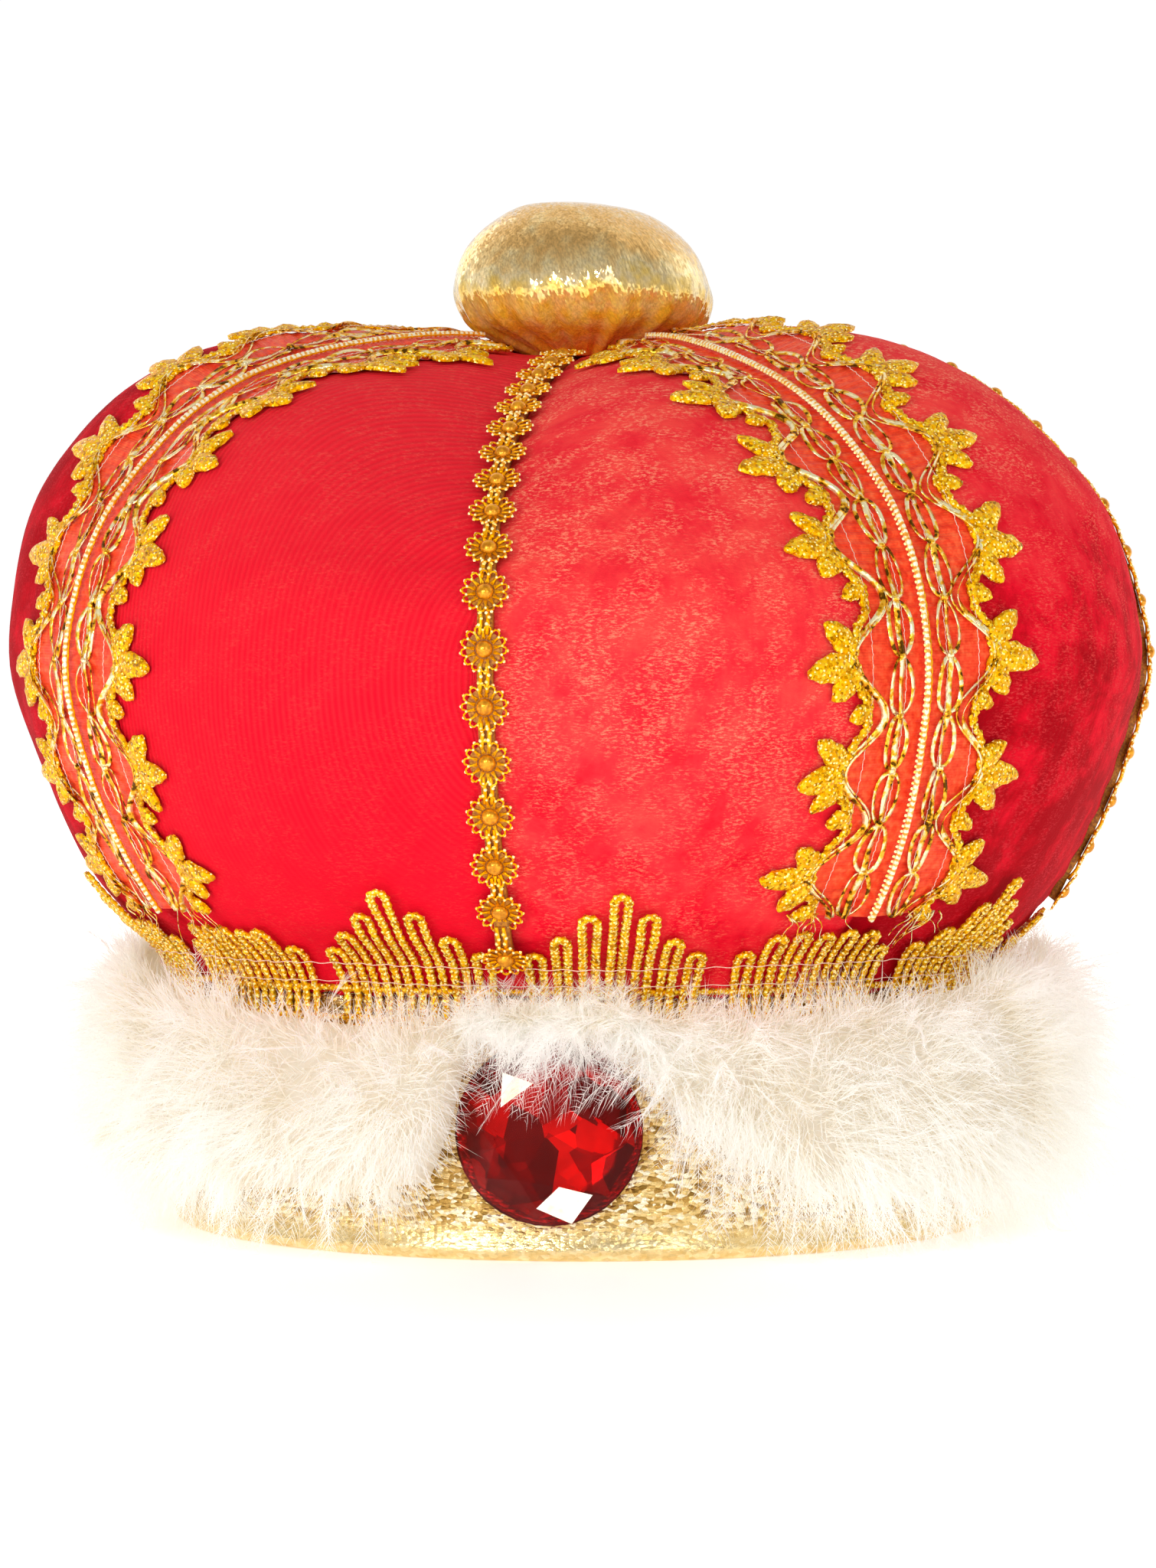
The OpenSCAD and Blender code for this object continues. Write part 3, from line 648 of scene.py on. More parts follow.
def link(s, random):
    """One oval ring of the chain, with the foil knot that ties it to the next."""
    t = even_turns(link_points)
    wide = link_half + random.uniform(-0.35, 0.35)
    path = np.stack([wide * np.sign(np.cos(t)) * np.abs(np.cos(t)) ** 0.85, s + link_reach * np.sin(t),
        0.8 + 0.4 * np.cos(2 * t + random.uniform(0, 6))], 1)
    ring = cord(path, *ring_foil, sides=4, twist=0.45 * np.sin(t + random.uniform(0, 6)), closed=True)
    knot = cord([(-0.95, s + 6.25, 0.9), (-0.3, s + 6.35, 1.35), (0.4, s + 6.25, 1.35), (0.95, s + 6.2, 0.9)],
        *knot_foil, sides=5)
    return [ring, knot]


def windings(count, share):
    """Thick and thin in turn along a wound cord, as shares of its width."""
    return 1 + share * np.where(np.arange(count) % 2, 1, -1)


def lobe(base, heading, length, width, random):
    """A pointed lobe of a leaf, low and filled with close glitter cord."""
    count, levels = 20, 4
    t = -even_turns(count)
    rings = []
    for level in range(levels):
        shrink = 1 - level / (levels - 0.4)
        rough = random.uniform(-0.14, 0.14, (3, count))
        edge_bumps = windings(count, 0.07)
        u = length * (0.5 - 0.5 * np.cos(t) * shrink) + rough[0]
        w = (width / 2 * shrink * edge_bumps * np.sign(np.sin(t)) * np.abs(np.sin(t)) ** 1.2
            * (1.12 - 0.3 * np.sin(t / 2) ** 2) + rough[1] * 1.4)
        h = 0.5 + 0.75 * (1 - shrink**2) + 0.5 * u / length + rough[2] * (level > 0)
        rings.append(np.stack([base[0] + u * math.cos(heading) - w * math.sin(heading),
            base[1] + u * math.sin(heading) + w * math.cos(heading), h], 1))
    cap = fan(np.arange(count) + levels * count, (levels + 1) * count)
    # The mound's edge goes straight down to the velvet
    return (np.concatenate([rings[0] * [1, 1, 0]] + rings + [rings[-1].mean(0)[None] + [0, 0, 0.25]]),
        [grid_faces(levels + 1, count), cap])


# Columns: degrees from straight out, length, width, place along the edge from the leaf's middle
leaf_lobes = ((-6, 13.0, 6.2, 0.0), (42, 10.5, 5.8, 1.0), (-50, 10.0, 5.6, -1.2), (-24, 6.4, 4.2, -9.8))


def glitter_edge(reach, random):
    """The scalloped cord of an edge with its leaves, for the side of positive across."""
    s = np.arange(0, reach, glitter_step)
    out = edge_at(s) + 0.5 * np.sin(2 * np.pi * s / 6.1)
    bumps = windings(len(s), 0.28)
    made = [cord(np.stack([out, s, 0.6 + 0 * s], 1), *(x * bumps for x in outer_glitter), sides=5),
        cord(np.stack([out - 1.1, s + 0.4, 0.5 + 0 * s], 1), *(x * bumps for x in inner_glitter), sides=4)]
    for middle in np.arange(leaf_pitch / 2, reach - 4, leaf_pitch):
        middle += random.uniform(-1.2, 1.2)
        for degrees, length, width, shift in leaf_lobes:
            base = (edge_at(middle + shift) - 1.6, middle + shift)
            made.append(lobe(base, math.radians(degrees + random.uniform(-7, 7)),
                length * random.uniform(0.9, 1.08), width * random.uniform(0.92, 1.1), random))
    return made


def foil_work(reach, random):
    """The chain, the strip under it and the waving tape, for the side of positive across."""
    made = []
    for m in range(int(reach // link_pitch)):
        made += [moved(part, (chain_x, 0, 0)) for part in link((m + 0.5) * link_pitch, random)]
    s = np.arange(0, reach, foil_step)
    made.append(cord(np.stack([chain_x + 0.2 * np.sin(s / 9), s,
        0.75 + 0.4 * np.cos(2 * np.pi * s / link_pitch)], 1), *strip_foil, sides=4,
        twist=0.35 * np.sin(2 * np.pi * s / 31)))
    wave = wave_x - wave_swing * np.cos(2 * np.pi * s / leaf_pitch) + 0.4 * np.sin(s / 7)
    swing = np.sin(2 * np.pi * s / leaf_pitch + 0.6)
    made.append(cord(np.stack([wave, s, 1.05 + 0.35 * swing], 1), *wave_foil, sides=4,
        twist=0.75 * swing + 0.3))
    made.append(cord(np.stack([wave - 1.35 - 0.3 * swing, s, 0.85 - 0.2 * swing], 1), *mate_foil, sides=4))
    return made


def stitches(x, reach):
    """A line of chain stitches in pale thread."""
    s = np.arange(0.5, reach, stitch_step)
    k = np.arange(len(s)) % 4
    path = np.stack([x + np.array([0, 0.12, 0.04, -0.08])[k], s, 0.75 + np.array([0, 0.2, 0.05, 0.2])[k]], 1)
    return cord(path, stitch_w, stitch_t, sides=3)


def frayed(reach_down, random):
    """Loose cut ends of foil at the galloon's foot."""
    made = []
    for _ in range(frayed_ends):
        x, away, length = random.uniform(6, 23), random.uniform(-0.9, 0.9), random.uniform(4, reach_down)
        t = np.linspace(0, 1, 8)
        path = np.stack([x + away * length * t + 1.2 * np.sin(5 * t + x), 1.5 - length * t,
            0.9 + 1.6 * t + 0.4 * np.sin(7 * t)], 1)
        made.append(cord(path, 0.6 * (1 - 0.6 * t), 0.2, sides=3, twist=2 * t))
    return made


def mirrored(part):
    """A part for the other side of the galloon, with its faces turned to match."""
    return part[0] * [-1, 1, 1], [block[:, ::-1] for block in part[1]]


def flake_normal(tree, where, size_mm, tilt):
    """A normal that differs from one small cell to the next, as flakes lie."""
    cells = node(tree, "TexVoronoi", {"grain_mm": size_mm}, {"Vector": where})
    off = node(tree, "VectorMath", {"operation": "SUBTRACT", 1: (0.5, 0.5, 0.5)}, {0: cells.outputs["Color"]})
    tilted = node(tree, "VectorMath", {"operation": "MULTIPLY_ADD", 1: (tilt, tilt, tilt)},
        {0: off, 2: node(tree, "NewGeometry", {}).outputs["Normal"]})
    return cells, node(tree, "VectorMath", {"operation": "NORMALIZE"}, {0: tilted})


# Coral satin ribbon, woven of fine bright threads across its width: soft gloss, darker pleats
coral_satin, tree, where = new_surface("coral_satin_ribbon")
thread_mm = 0.62
threads = waves(tree, node(tree, "Attribute", {"attribute_name": "along"}).outputs["Fac"], thread_mm)
slubs, satin_tone = mottled(tree, where, 1.6, [(0.3, "#E63018"), (0.5, "#F84A28"), (0.72, "#FF6E40")], 4.0)
weave = node(tree, "Math", {"operation": "MULTIPLY_ADD", 1: 0.5}, {0: threads, 2: slubs})
ribs = node(tree, "Bump", {"Strength": 0.4, "Distance": 0.15 * mm}, {"Height": weave})
satin = node(tree, "BsdfPrincipled", {"Roughness": 0.42, "Specular Tint": linear("#FF9070")},
    {"Base Color": satin_tone, "Normal": ribs})
node(tree, "OutputMaterial", {}, {"Surface": satin})
# Flat gold foil, metallised polyester film: a bent mirror, with light and dark bands of painted reflection
# that follow its kinks
gold_foil, tree, where = new_surface("gold_metallised_film")
# Dark brown to near white on the noise of the kinks: painted reflection bands
kinks, foil_painted_bands = mottled(tree, where, 2.2, [(0.36, "#5E3C08"), (0.42, "#F0A820"), (0.50, "#FFCC48"),
    (0.57, "#FFF4C4")], 2.0)
bent = node(tree, "Bump", {"Strength": 0.7, "Distance": 0.9 * mm}, {"Height": kinks})
film = node(tree, "BsdfPrincipled", {"Metallic": 0.6, "Roughness": 0.14,
    "Specular Tint": linear("#FFC040")}, {"Base Color": foil_painted_bands, "Normal": bent})
node(tree, "OutputMaterial", {}, {"Surface": film})
# Glitter cord, yarn wound with cut film: small flakes at all angles, yellow and amber, with
# painted white glints that glow faintly, scattered and, where the cord lies flat, in two even
# rows along its windings.
glitter_cord, tree, where = new_surface("gold_glitter_cord")
flake_mm, spark_mm = 0.62, 1.0
flakes, flake_n = flake_normal(tree, where, flake_mm, 0.9)
flake_tone = node(tree, "ValToRGB", {"stops": [(0.0, "#A86C00"), (0.3, "#F2A600"), (0.7, "#FFC410"),
    (1.0, "#FFE038")]}, {"Fac": node(tree, "SeparateColor", {}, {0: flakes.outputs["Color"]})})
# Painted glints: white dots at random and in rows, mixed into the colour and glowing faintly
sparks = node(tree, "TexVoronoi", {"grain_mm": spark_mm, "Randomness": 0.8}, {"Vector": where})
spark = node(tree, "MapRange", {"range": (0.32, 0.22, 0.0, 1.0)}, {"Value": sparks})
winding_mm, row_mm = 1.45, 0.55
along, beside = (
    node(tree, "Attribute", {"attribute_name": key}).outputs["Fac"] for key in ("along", "beside"))
wound_s = node(tree, "Math", {"operation": "PINGPONG", 1: winding_mm / 2}, {0: along})
off_middle = node(tree, "Math", {"operation": "ABSOLUTE"}, {0: beside})
off_row = node(tree, "Math", {"operation": "SUBTRACT", 1: row_mm}, {0: off_middle})
in_row = node(tree, "CombineXYZ", {}, {0: wound_s, 1: off_row})
off_dot = node(tree, "VectorMath", {"operation": "LENGTH"}, {0: in_row})
row_spark = node(tree, "MapRange", {"range": (0.31, 0.20, 0.0, 1.0)}, {"Value": off_dot.outputs["Value"]})
both = node(tree, "Math", {"operation": "MAXIMUM"}, {0: spark, 1: row_spark})
painted_spark_glow = node(tree, "Math", {"operation": "MULTIPLY", 1: 0.25}, {0: both})
painted_spark_tone = node(tree, "MixRGB", {"Color2": linear("#FFF29C")}, {"Fac": both, "Color1": flake_tone})
glitter = node(tree, "BsdfPrincipled", {"Metallic": 0.25, "Roughness": 0.3,
    "Emission Color": linear("#FFF0A8"), "Specular Tint": linear("#FFB820")},
    {"Base Color": painted_spark_tone, "Normal": flake_n, "Emission Strength": painted_spark_glow})
node(tree, "OutputMaterial", {}, {"Surface": glitter})
# Polyester sewing thread, off-white with a slight gloss
pale_thread, tree, where = new_surface("pale_polyester_thread")
ply_tone = mottled(tree, where, 0.5, [(0.3, "#F2B8A0"), (0.7, "#FFEBDD")])[1]
thread = node(tree, "BsdfPrincipled", {"Roughness": 0.5}, {"Base Color": ply_tone})
node(tree, "OutputMaterial", {}, {"Surface": thread})

ribbon_rows, ribbon_columns = 400, 17
galloon_seams = seam_angles[[1, 3, 5, 7]]
for number, seam in enumerate(galloon_seams, 1):
    random = np.random.default_rng(20 + number)
    seam_track = track(seam, galloon_foot_step)
    reach = seam_track[2][-1]
    ribbon_s, ribbon_t = np.meshgrid(np.linspace(0, reach, ribbon_rows),
        np.linspace(-1, 1, ribbon_columns), indexing="ij")
    ribbon_x = edge_at(ribbon_s) * ribbon_t
    wander = 0.7 * np.sin(ribbon_x / 3.1 + ribbon_s / 17) + 0.5 * np.sin(ribbon_x / 1.3 + ribbon_s / 9)
    pleats = pleat_h * np.cos(2 * np.pi * ribbon_s / pleat_pitch + wander) * (1 - 0.5 * np.abs(ribbon_t))
    ribbon_flat = np.stack([ribbon_x, ribbon_s, pleats - 0.35 * np.abs(ribbon_t) ** 4], -1).reshape(-1, 3)
    ribbon = new_piece(f"ribbon_{number}", [(lay_on(seam_track, ribbon_flat),
        [grid_faces(ribbon_rows, ribbon_columns, False)], 0)], [coral_satin],
        values={"along": ribbon_s.ravel()})
    foil = foil_work(reach, random) + [mirrored(p) for p in foil_work(reach, random)]
    foil += frayed(frayed_right, random) + [mirrored(p) for p in frayed(frayed_left, random)]
    foil_points, foil_faces = joined(foil)
    sewn_points, sewn_faces = joined([stitches(x, reach) for x in stitch_lines])
    foil_trim = new_piece(f"foil_trim_{number}", [(lay_on(seam_track, foil_points), foil_faces, 0),
        (lay_on(seam_track, sewn_points), sewn_faces, 1)], [gold_foil, pale_thread])
    leaf_points, leaf_faces = joined(glitter_edge(reach, random)
        + [mirrored(p) for p in glitter_edge(reach, random)])
    leaves = new_piece(f"leaf_edges_{number}", [(lay_on(seam_track, leaf_points), leaf_faces, 0)],
        [glitter_cord])
    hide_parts(f"galloon_{number}")

# Piping
# A firm cream and gold cord down the middle of each galloon, with small picots of gold
# thread that stand out along its left side.
piping_lift = 1.5
core_sides, core_w, core_t, core_step_mm = 8, 1.3, 1.5, 0.42
picot_pitch, picot_r, picot_h, picot_x = 1.25, 0.38, 0.5, -0.85
edging_x, edging_w, edging_t = 0.78, 0.55, 0.5
# Cream cotton cord whipped with gold: white-gold turns over an amber core
whipped_cord, tree, where = new_surface("gold_whipped_cream_cord")
whip_mm = 1.3
whip_wave = waves(tree, node(tree, "Attribute", {"attribute_name": "along"}).outputs["Fac"], whip_mm)
yarn = node(tree, "TexNoise", {"grain_mm": 0.9, "Detail": 3.0}, {"Vector": where})
whip_mix = node(tree, "Math", {"operation": "MULTIPLY_ADD", 1: 0.14}, {0: whip_wave, 2: yarn})
whip_tone = node(tree, "ValToRGB", {"stops": [(0.34, "#EE9A28"), (0.46, "#FFD070"), (0.56, "#FFF8DC")]},
    {"Fac": whip_mix})
cotton = node(tree, "BsdfPrincipled", {"Roughness": 0.38, "Metallic": 0.2}, {"Base Color": whip_tone})
node(tree, "OutputMaterial", {}, {"Surface": cotton})
for number, seam in enumerate(galloon_seams, 1):
    seam_track = track(seam, galloon_foot_step)
    reach = seam_track[2][-1]
    s = np.arange(0, reach, core_step_mm)
    whip = 1 + 0.12 * np.where(np.arange(len(s)) % 3 == 0, -1, 0.5)
    core_points, core_faces = cord(np.stack([0.25 * np.sin(s / 13), s, piping_lift + 0 * s], 1),
        core_w * whip, core_t * whip, core_sides)
    picot_s = np.arange(1, reach - 1, picot_pitch)
    picot = bead(picot_r, picot_h)
    picots = joined([moved(picot, (picot_x, p, piping_lift - 0.1)) for p in picot_s])
    edging_path = np.stack([edging_x + 0.12 * np.sin(s * 3.1), s, piping_lift - 0.1 + 0 * s], 1)
    edging = cord(edging_path, edging_w, edging_t, sides=4)
    piping = new_piece(f"picot_piping_{number}", [(lay_on(seam_track, core_points), core_faces, 0),
        (lay_on(seam_track, picots[0]), picots[1], 1), (lay_on(seam_track, edging[0]), edging[1], 2)],
        [whipped_cord, glint_beads, gimp_gold],
        values={"along": np.concatenate([np.repeat(s, core_sides), picots[0][:, 1], edging[0][:, 1]])})
    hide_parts(f"piping_{number}")

# Lace border
# Fourteen peaks of glitter cord round the puff's foot, each of seven upright loops, the
# middle one the tallest. Their feet hang over the headband, and two lines of pale thread
# are run through them above the fur.
motif_count = 14
loop_heights = np.array([14.5, 21, 28, 35, 28, 21, 14.5])
loops = len(loop_heights)
loop_w, loop_cord_w, loop_cord_t = 5.5, 2.15, 1.35
ring_cord_r, run_thread_r = 0.8, 0.11
lace_foot_step = 0.1
lace_lift, lace_low_z = 0.75, 52.4
foot_crowd, top_crowd = 0.86, 0.97 * 1.12
loop_draw, loop_draw_mm = 0.18, 9
top_lift, top_lift_h = 1.1, 32
tucked_h, galloon_tuck, braid_tucks = 20, 14.5, (0, 4.5, 0, 4.5)
motif_angle = 360 / motif_count


def tucked(angle):
    """Whether a loop tucks in below the end of a trim that stops above it."""
    return any(abs(off_angle(angle, seam)) < (galloon_tuck if k % 2 else braid_tucks[k // 2])
        for k, seam in enumerate(seam_angles[:-1]))


def on_skirt(middle, pattern, lace_track):
    """Lays a flat pattern on the puff's foot, and where it goes below it, on the headband."""
    _, steps, lengths = lace_track
    step = np.interp(np.maximum(pattern[:, 1], 0), lengths, steps)
    room = seam_section(np.full(len(step), middle), step)[0]
    laid = on_puff(middle + np.degrees(pattern[:, 0] / room), step, pattern[:, 2] + lace_lift)
    laid[:, 2] += np.minimum(pattern[:, 1], 0)
    return laid


random = np.random.default_rng(40)
lace_foot_z = seam_section(np.array(0.0), np.array(lace_foot_step))[1]
lace_hang = lace_foot_z - lace_low_z
loop_parts, loop_along, loop_beside = [], [], []
cord_sides = 5
beside_turn = np.cos(even_turns(cord_sides, 0.5))
for m in range(motif_count):
    middle = (m + 0.5) * motif_angle
    lace_track = track(middle, lace_foot_step, 5.0)
    foot_mm = np.radians(motif_angle) * seam_section(np.array(middle), np.array(lace_foot_step))[0]
    for j, h in enumerate(loop_heights):
        spread = (j - (loops - 1) / 2) / loops
        if tucked(middle + spread * motif_angle):
            h = min(h, tucked_h)
        h = h + random.uniform(-0.6, 0.6)
        half = loop_w / 2 - loop_cord_w / 2 + random.uniform(-0.15, 0.15)
        straight = h - loop_w / 2
        side_n = max(6, int((straight + lace_hang) / 1.0))
        turn = np.linspace(0, np.pi, 9)[1:-1]
        x = np.concatenate([np.full(side_n, -half), -half * np.cos(turn), np.full(side_n, half)])
        y = np.concatenate([np.linspace(-lace_hang, straight, side_n), straight + half * np.sin(turn),
            np.linspace(straight, -lace_hang, side_n)])
        # The two sides of a loop draw together below its round top
        x = x * (1 - loop_draw + loop_draw * np.clip(1 - np.abs(y - straight) / loop_draw_mm, 0, 1) ** 0.7)
        lean = foot_mm * spread * (foot_crowd + (top_crowd - foot_crowd)
            * np.maximum(y, 0) / loop_heights.max())
        bumps = windings(len(x), 0.18)
        height = 0.55 + top_lift * (np.maximum(y, 0) / top_lift_h) ** 2 + 0.12 * (j % 2)
        points, faces = cord(np.stack([x + lean, y, height], 1), loop_cord_w * bumps, loop_cord_t * bumps,
            cord_sides)
        loop_parts.append((on_skirt(middle, points, lace_track), faces))
        loop_along.append(np.repeat(np.concatenate([[0],
            np.cumsum(np.hypot(np.diff(x + lean), np.diff(y)))]), cord_sides))
        loop_beside.append(np.tile(beside_turn * loop_cord_w / 2, len(x)))


def loop_round(line, radius, sides=4):
    """A thin cord along a closed line in mm, round the crown."""
    outward = unit(line * [1, 1, 0])
    upward = np.cross(unit(np.roll(line, -1, 0) - np.roll(line, 1, 0)), outward)
    turn = even_turns(sides)
    radius = np.broadcast_to(radius, len(line))[:, None, None]
    points = line[:, None] + radius * (np.cos(turn)[None, :, None] * outward[:, None]
        + np.sin(turn)[None, :, None] * upward[:, None])
    return points.reshape(-1, 3), [grid_faces(len(line), sides, True, True)]


ring_drops = (-1.5, lace_hang - 1.0, lace_hang - 3.2)
ring_turn = np.arange(0, 360, 0.5)
ring_bumps = windings(len(ring_turn), 0.14)
ring_line = on_puff(ring_turn, lace_foot_step, lace_lift + 0.75)
ring_parts = [loop_round(ring_line - [0, 0, drop], ring_cord_r * ring_bumps, 5)
    for drop in ring_drops]
run_steps = (1.02, 0.52)
run_turn = np.arange(0, 360, 0.4)
run_lines = [on_puff(run_turn, step + 0.012 * np.sin(np.radians(run_turn) * 14 + 1),
    lace_lift + 1.75 + 0.25 * np.sin(np.radians(run_turn) * 97)) for step in run_steps]
run_parts = [loop_round(line, run_thread_r) for line in run_lines]
lace = new_piece("loop_lace", [(*joined(loop_parts + ring_parts), 0), (*joined(run_parts), 1)],
    [glitter_cord, pale_thread], values={key: np.concatenate(
        rows + [np.zeros(len(part[0])) for part in ring_parts + run_parts])
        for key, rows in (("along", loop_along), ("beside", loop_beside))})
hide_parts("lace_border")

# Knob
# A round pad of gold lame on the top: the cloth is stretched over stuffing and gathered
# under it, so that folds run up from its foot, and one long crease crosses its front.
knob_rows = np.array([
    [0.36, 0.00, 0.5], [0.50, 0.06, 1.0], [0.67, 0.12, 1.0], [0.83, 0.18, 0.8],
    [0.94, 0.27, 0.4], [1.00, 0.41, 0.2], [0.96, 0.57, 0.0], [0.87, 0.72, 0.0],
    [0.72, 0.85, 0.0], [0.50, 0.96, 0.0], [0.24, 1.00, 0.0]])
knob_r, knob_h, knob_lean = 32, 38, math.radians(4)
knob_gathers, gather_depth = 16, 2.6
knob_seat, knob_crown = 0.3, 0.15
knob_foot = seam_section(np.array(0.0), np.array(float(seam_last)))[1] + knob_seat
knob_columns, knob_rings = 160, 64
knob_last = len(knob_rows) - 1
knob_angle, knob_v = np.meshgrid(np.arange(knob_columns) * 2 * np.pi / knob_columns,
    np.linspace(0, knob_last, knob_rings))
knob_share = shares_at(knob_rows, knob_v)
gathers = (np.sin(knob_gathers * knob_angle) + 0.7 * np.sin((knob_gathers * 2 - 3) * knob_angle + 1.3)
    + 0.5 * np.sin(9 * knob_angle + 4))
knob_reach = knob_r * knob_share[..., 0] + gather_depth * 0.55 * knob_share[..., 2] * gathers
# The crease at the front right: a ridge that stands out most at the knob's widest
crease_angle, crease_w, crease_h = 0.30, 0.13, 2.1
off_crease = knob_angle - (crease_angle + 0.05 * (knob_v - 5))
off_crease = (off_crease + np.pi) % (2 * np.pi) - np.pi
crease = crease_h * np.exp(-np.abs(off_crease / crease_w) ** 1.3) * np.exp(-((knob_v - 6.2) / 2.2) ** 2)
lumps = 0.35 * np.sin(3 * knob_angle + 0.9 * knob_v) + 0.25 * np.sin(5 * knob_angle - 1.1 * knob_v + 2)
knob_reach = knob_reach + crease + lumps * np.clip(knob_v / 3, 0, 1) * np.clip((knob_last - knob_v) / 3, 0, 1)
knob_x = knob_reach * np.sin(knob_angle)
knob_points = np.stack([knob_x, -knob_reach * np.cos(knob_angle),
    knob_foot + knob_h * knob_share[..., 1] - knob_x * knob_share[..., 1] * math.tan(knob_lean)], -1)
knob_top, knob_under = knob_points[-1].mean(0) + [0, 0, knob_crown], knob_points[0].mean(0)
ring = np.arange(knob_columns)
knob_ends = [fan(ring + (knob_rings - 1) * knob_columns, knob_rings * knob_columns),
    fan(ring, knob_rings * knob_columns + 1)[:, [1, 0, 2]]]
# Gold lame, warp-knit polyester faced with metallised film: a satin mirror, whose fine
# slanting threads break the edges of each reflection into sparks. Its colour carries a painted
# reflection by height: amber low down, palest in a band round its widest, darker at the top.
knob_lame, tree, where = new_surface("stretched_gold_lame")
slanted = node(tree, "Mapping", {"vector_type": "TEXTURE", "Rotation": (0.0, -0.35, 0.0),
    "Scale": (1.0, 1.0, 3.0)}, {"Vector": where})
knit = node(tree, "TexNoise", {"grain_mm": 0.5, "Detail": 2.0, "Roughness": 0.55}, {"Vector": slanted})
soft = node(tree, "TexNoise", {"grain_mm": 5, "Detail": 3.0}, {"Vector": where})
knob_z = node(tree, "SeparateXYZ", {}, {0: where}).outputs["Z"]
# Painted reflection by height: amber low, palest round the widest, darker at the top
up_knob = node(tree, "MapRange", {"range": (0.221, 0.240, -0.25, 0.5)}, {"Value": knob_z})
painted_band_and_mottle = node(tree, "Math", {"operation": "ADD"}, {0: up_knob, 1: soft})
painted_band_tone = node(tree, "ValToRGB", {"stops": [(0.2, "#FFC838"), (0.5, "#FFDC80"), (0.68, "#FFE8B0"),
    (0.80, "#FFDC98"), (1.0, "#F4C478")]}, {"Fac": painted_band_and_mottle})
thread_h = node(tree, "MapRange", {"range": (0.40, 0.60, 0.0, 1.0)}, {"Value": knit})
threaded = node(tree, "MixRGB", {"blend_type": "MULTIPLY", "Fac": 0.24},
    {"Color1": painted_band_tone, "Color2": thread_h})
thread_n = flake_normal(tree, slanted, 0.6, 0.26)[1]
film_share = node(tree, "MapRange", {"range": (0.222, 0.234, 0.30, 0.85)}, {"Value": knob_z})
knob_film = node(tree, "BsdfPrincipled", {"Roughness": 0.10},
    {"Base Color": threaded, "Metallic": film_share, "Normal": thread_n})
node(tree, "OutputMaterial", {}, {"Surface": knob_film})
knob = new_piece("lame_knob", [(np.concatenate([knob_points.reshape(-1, 3), knob_top[None],
    knob_under[None]]), [grid_faces(knob_rings, knob_columns)] + knob_ends, 0)], [knob_lame])
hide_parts("knob")

# Headband
# A padded band of pale gold lame round the head, its lower edge rolled under and stitched
# as a smooth hem, with a small tuck where the ends of the cloth meet at the side.
band_r, band_h, band_wall = 100.5, 60, 3
hem_r, hem_inset, hem_points = 2.6, 1.4, 22
hem_from, hem_to, hem_outside = 150, 385, 12
tuck_angle, tuck_h, tuck_half, tuck_z, tuck_rise = 48, 2.4, 3.0, 5, 6.5
inside_rows, outside_rows = 10, 30
# The band's section, from the inside at its top, down, round the hem and up outside
hem_turn = np.radians(np.linspace(hem_from, hem_to, hem_points))
hem_middle = np.array([band_r - hem_inset, hem_r])
hem_section = hem_middle + hem_r * np.stack([np.cos(hem_turn), np.sin(hem_turn)], 1)
outer_z = np.linspace(2 * hem_r - 0.2, band_h, outside_rows)[1:]
band_section = np.concatenate([
    np.stack([np.full(inside_rows, band_r - band_wall), np.linspace(band_h, hem_r + 2.4, inside_rows)], 1),
    hem_section,
    np.stack([np.full(len(outer_z), band_r), outer_z], 1)])
band_columns = 330
band_turns = 180 + np.arange(band_columns) / band_columns * 360
section_r, section_turn = np.meshgrid(band_section[:, 0], np.radians(band_turns), indexing="ij")
section_z = np.repeat(band_section[:, 1][:, None], band_columns, 1)
outside = (np.arange(len(band_section)) >= inside_rows + hem_outside)[:, None]
pulls = (0.35 * np.sin(61 * section_turn + section_z * 0.5)
    + 0.3 * np.sin(23 * section_turn - section_z * 0.32 + 1))
off_tuck = np.abs(off_angle(np.degrees(section_turn), tuck_angle))
tuck = tuck_h * np.exp(-(off_tuck / tuck_half) ** 2) * np.exp(-((section_z - tuck_z) / tuck_rise) ** 2)
section_r = section_r + np.where(outside & (section_z > 4),
    pulls * np.clip((section_z - 6) / 6, 0, 1) + tuck, 0)


def round_crown(radius, turn, z):
    """Points at these turns round the crown, from its front."""
    return np.stack([radius * np.sin(turn), -radius * np.cos(turn), z], -1)


band_points = round_crown(section_r, section_turn, section_z)
# Pale gold lame, finely crinkled in knit rows: each small cell mirrors the room and is also
# painted light or dark at random, a painted reflection of the bright table or a darker part of
# the room, and the rolled hem below stays smooth
band_lame, tree, where = new_surface("crinkled_pale_gold_lame")
around, upward = (
    node(tree, "Attribute", {"attribute_name": key}).outputs["Fac"] for key in ("around", "upward"))
knit_rows = node(tree, "VectorMath", {"operation": "MULTIPLY", 1: (0.7, 1.0, 1.3)},
    {0: node(tree, "CombineXYZ", {}, {0: around, 2: upward})})
cell_mm = 1.15
knit_cells = node(tree, "TexVoronoi", {"Scale": 1 / cell_mm, "Randomness": 0.75}, {"Vector": knit_rows})
crinkles = node(tree, "TexNoise", {"Scale": 0.5, "Detail": 4.0, "Roughness": 0.65}, {"Vector": knit_rows})
grain = node(tree, "Math", {"operation": "MULTIPLY_ADD", 1: -0.8}, {0: knit_cells, 2: crinkles})
rough_share = node(tree, "MapRange", {"range": (5.0, 10.0, 0.22, 1.0)}, {"Value": upward})
grain_h = node(tree, "Math", {"operation": "MULTIPLY"}, {0: grain, 1: rough_share})
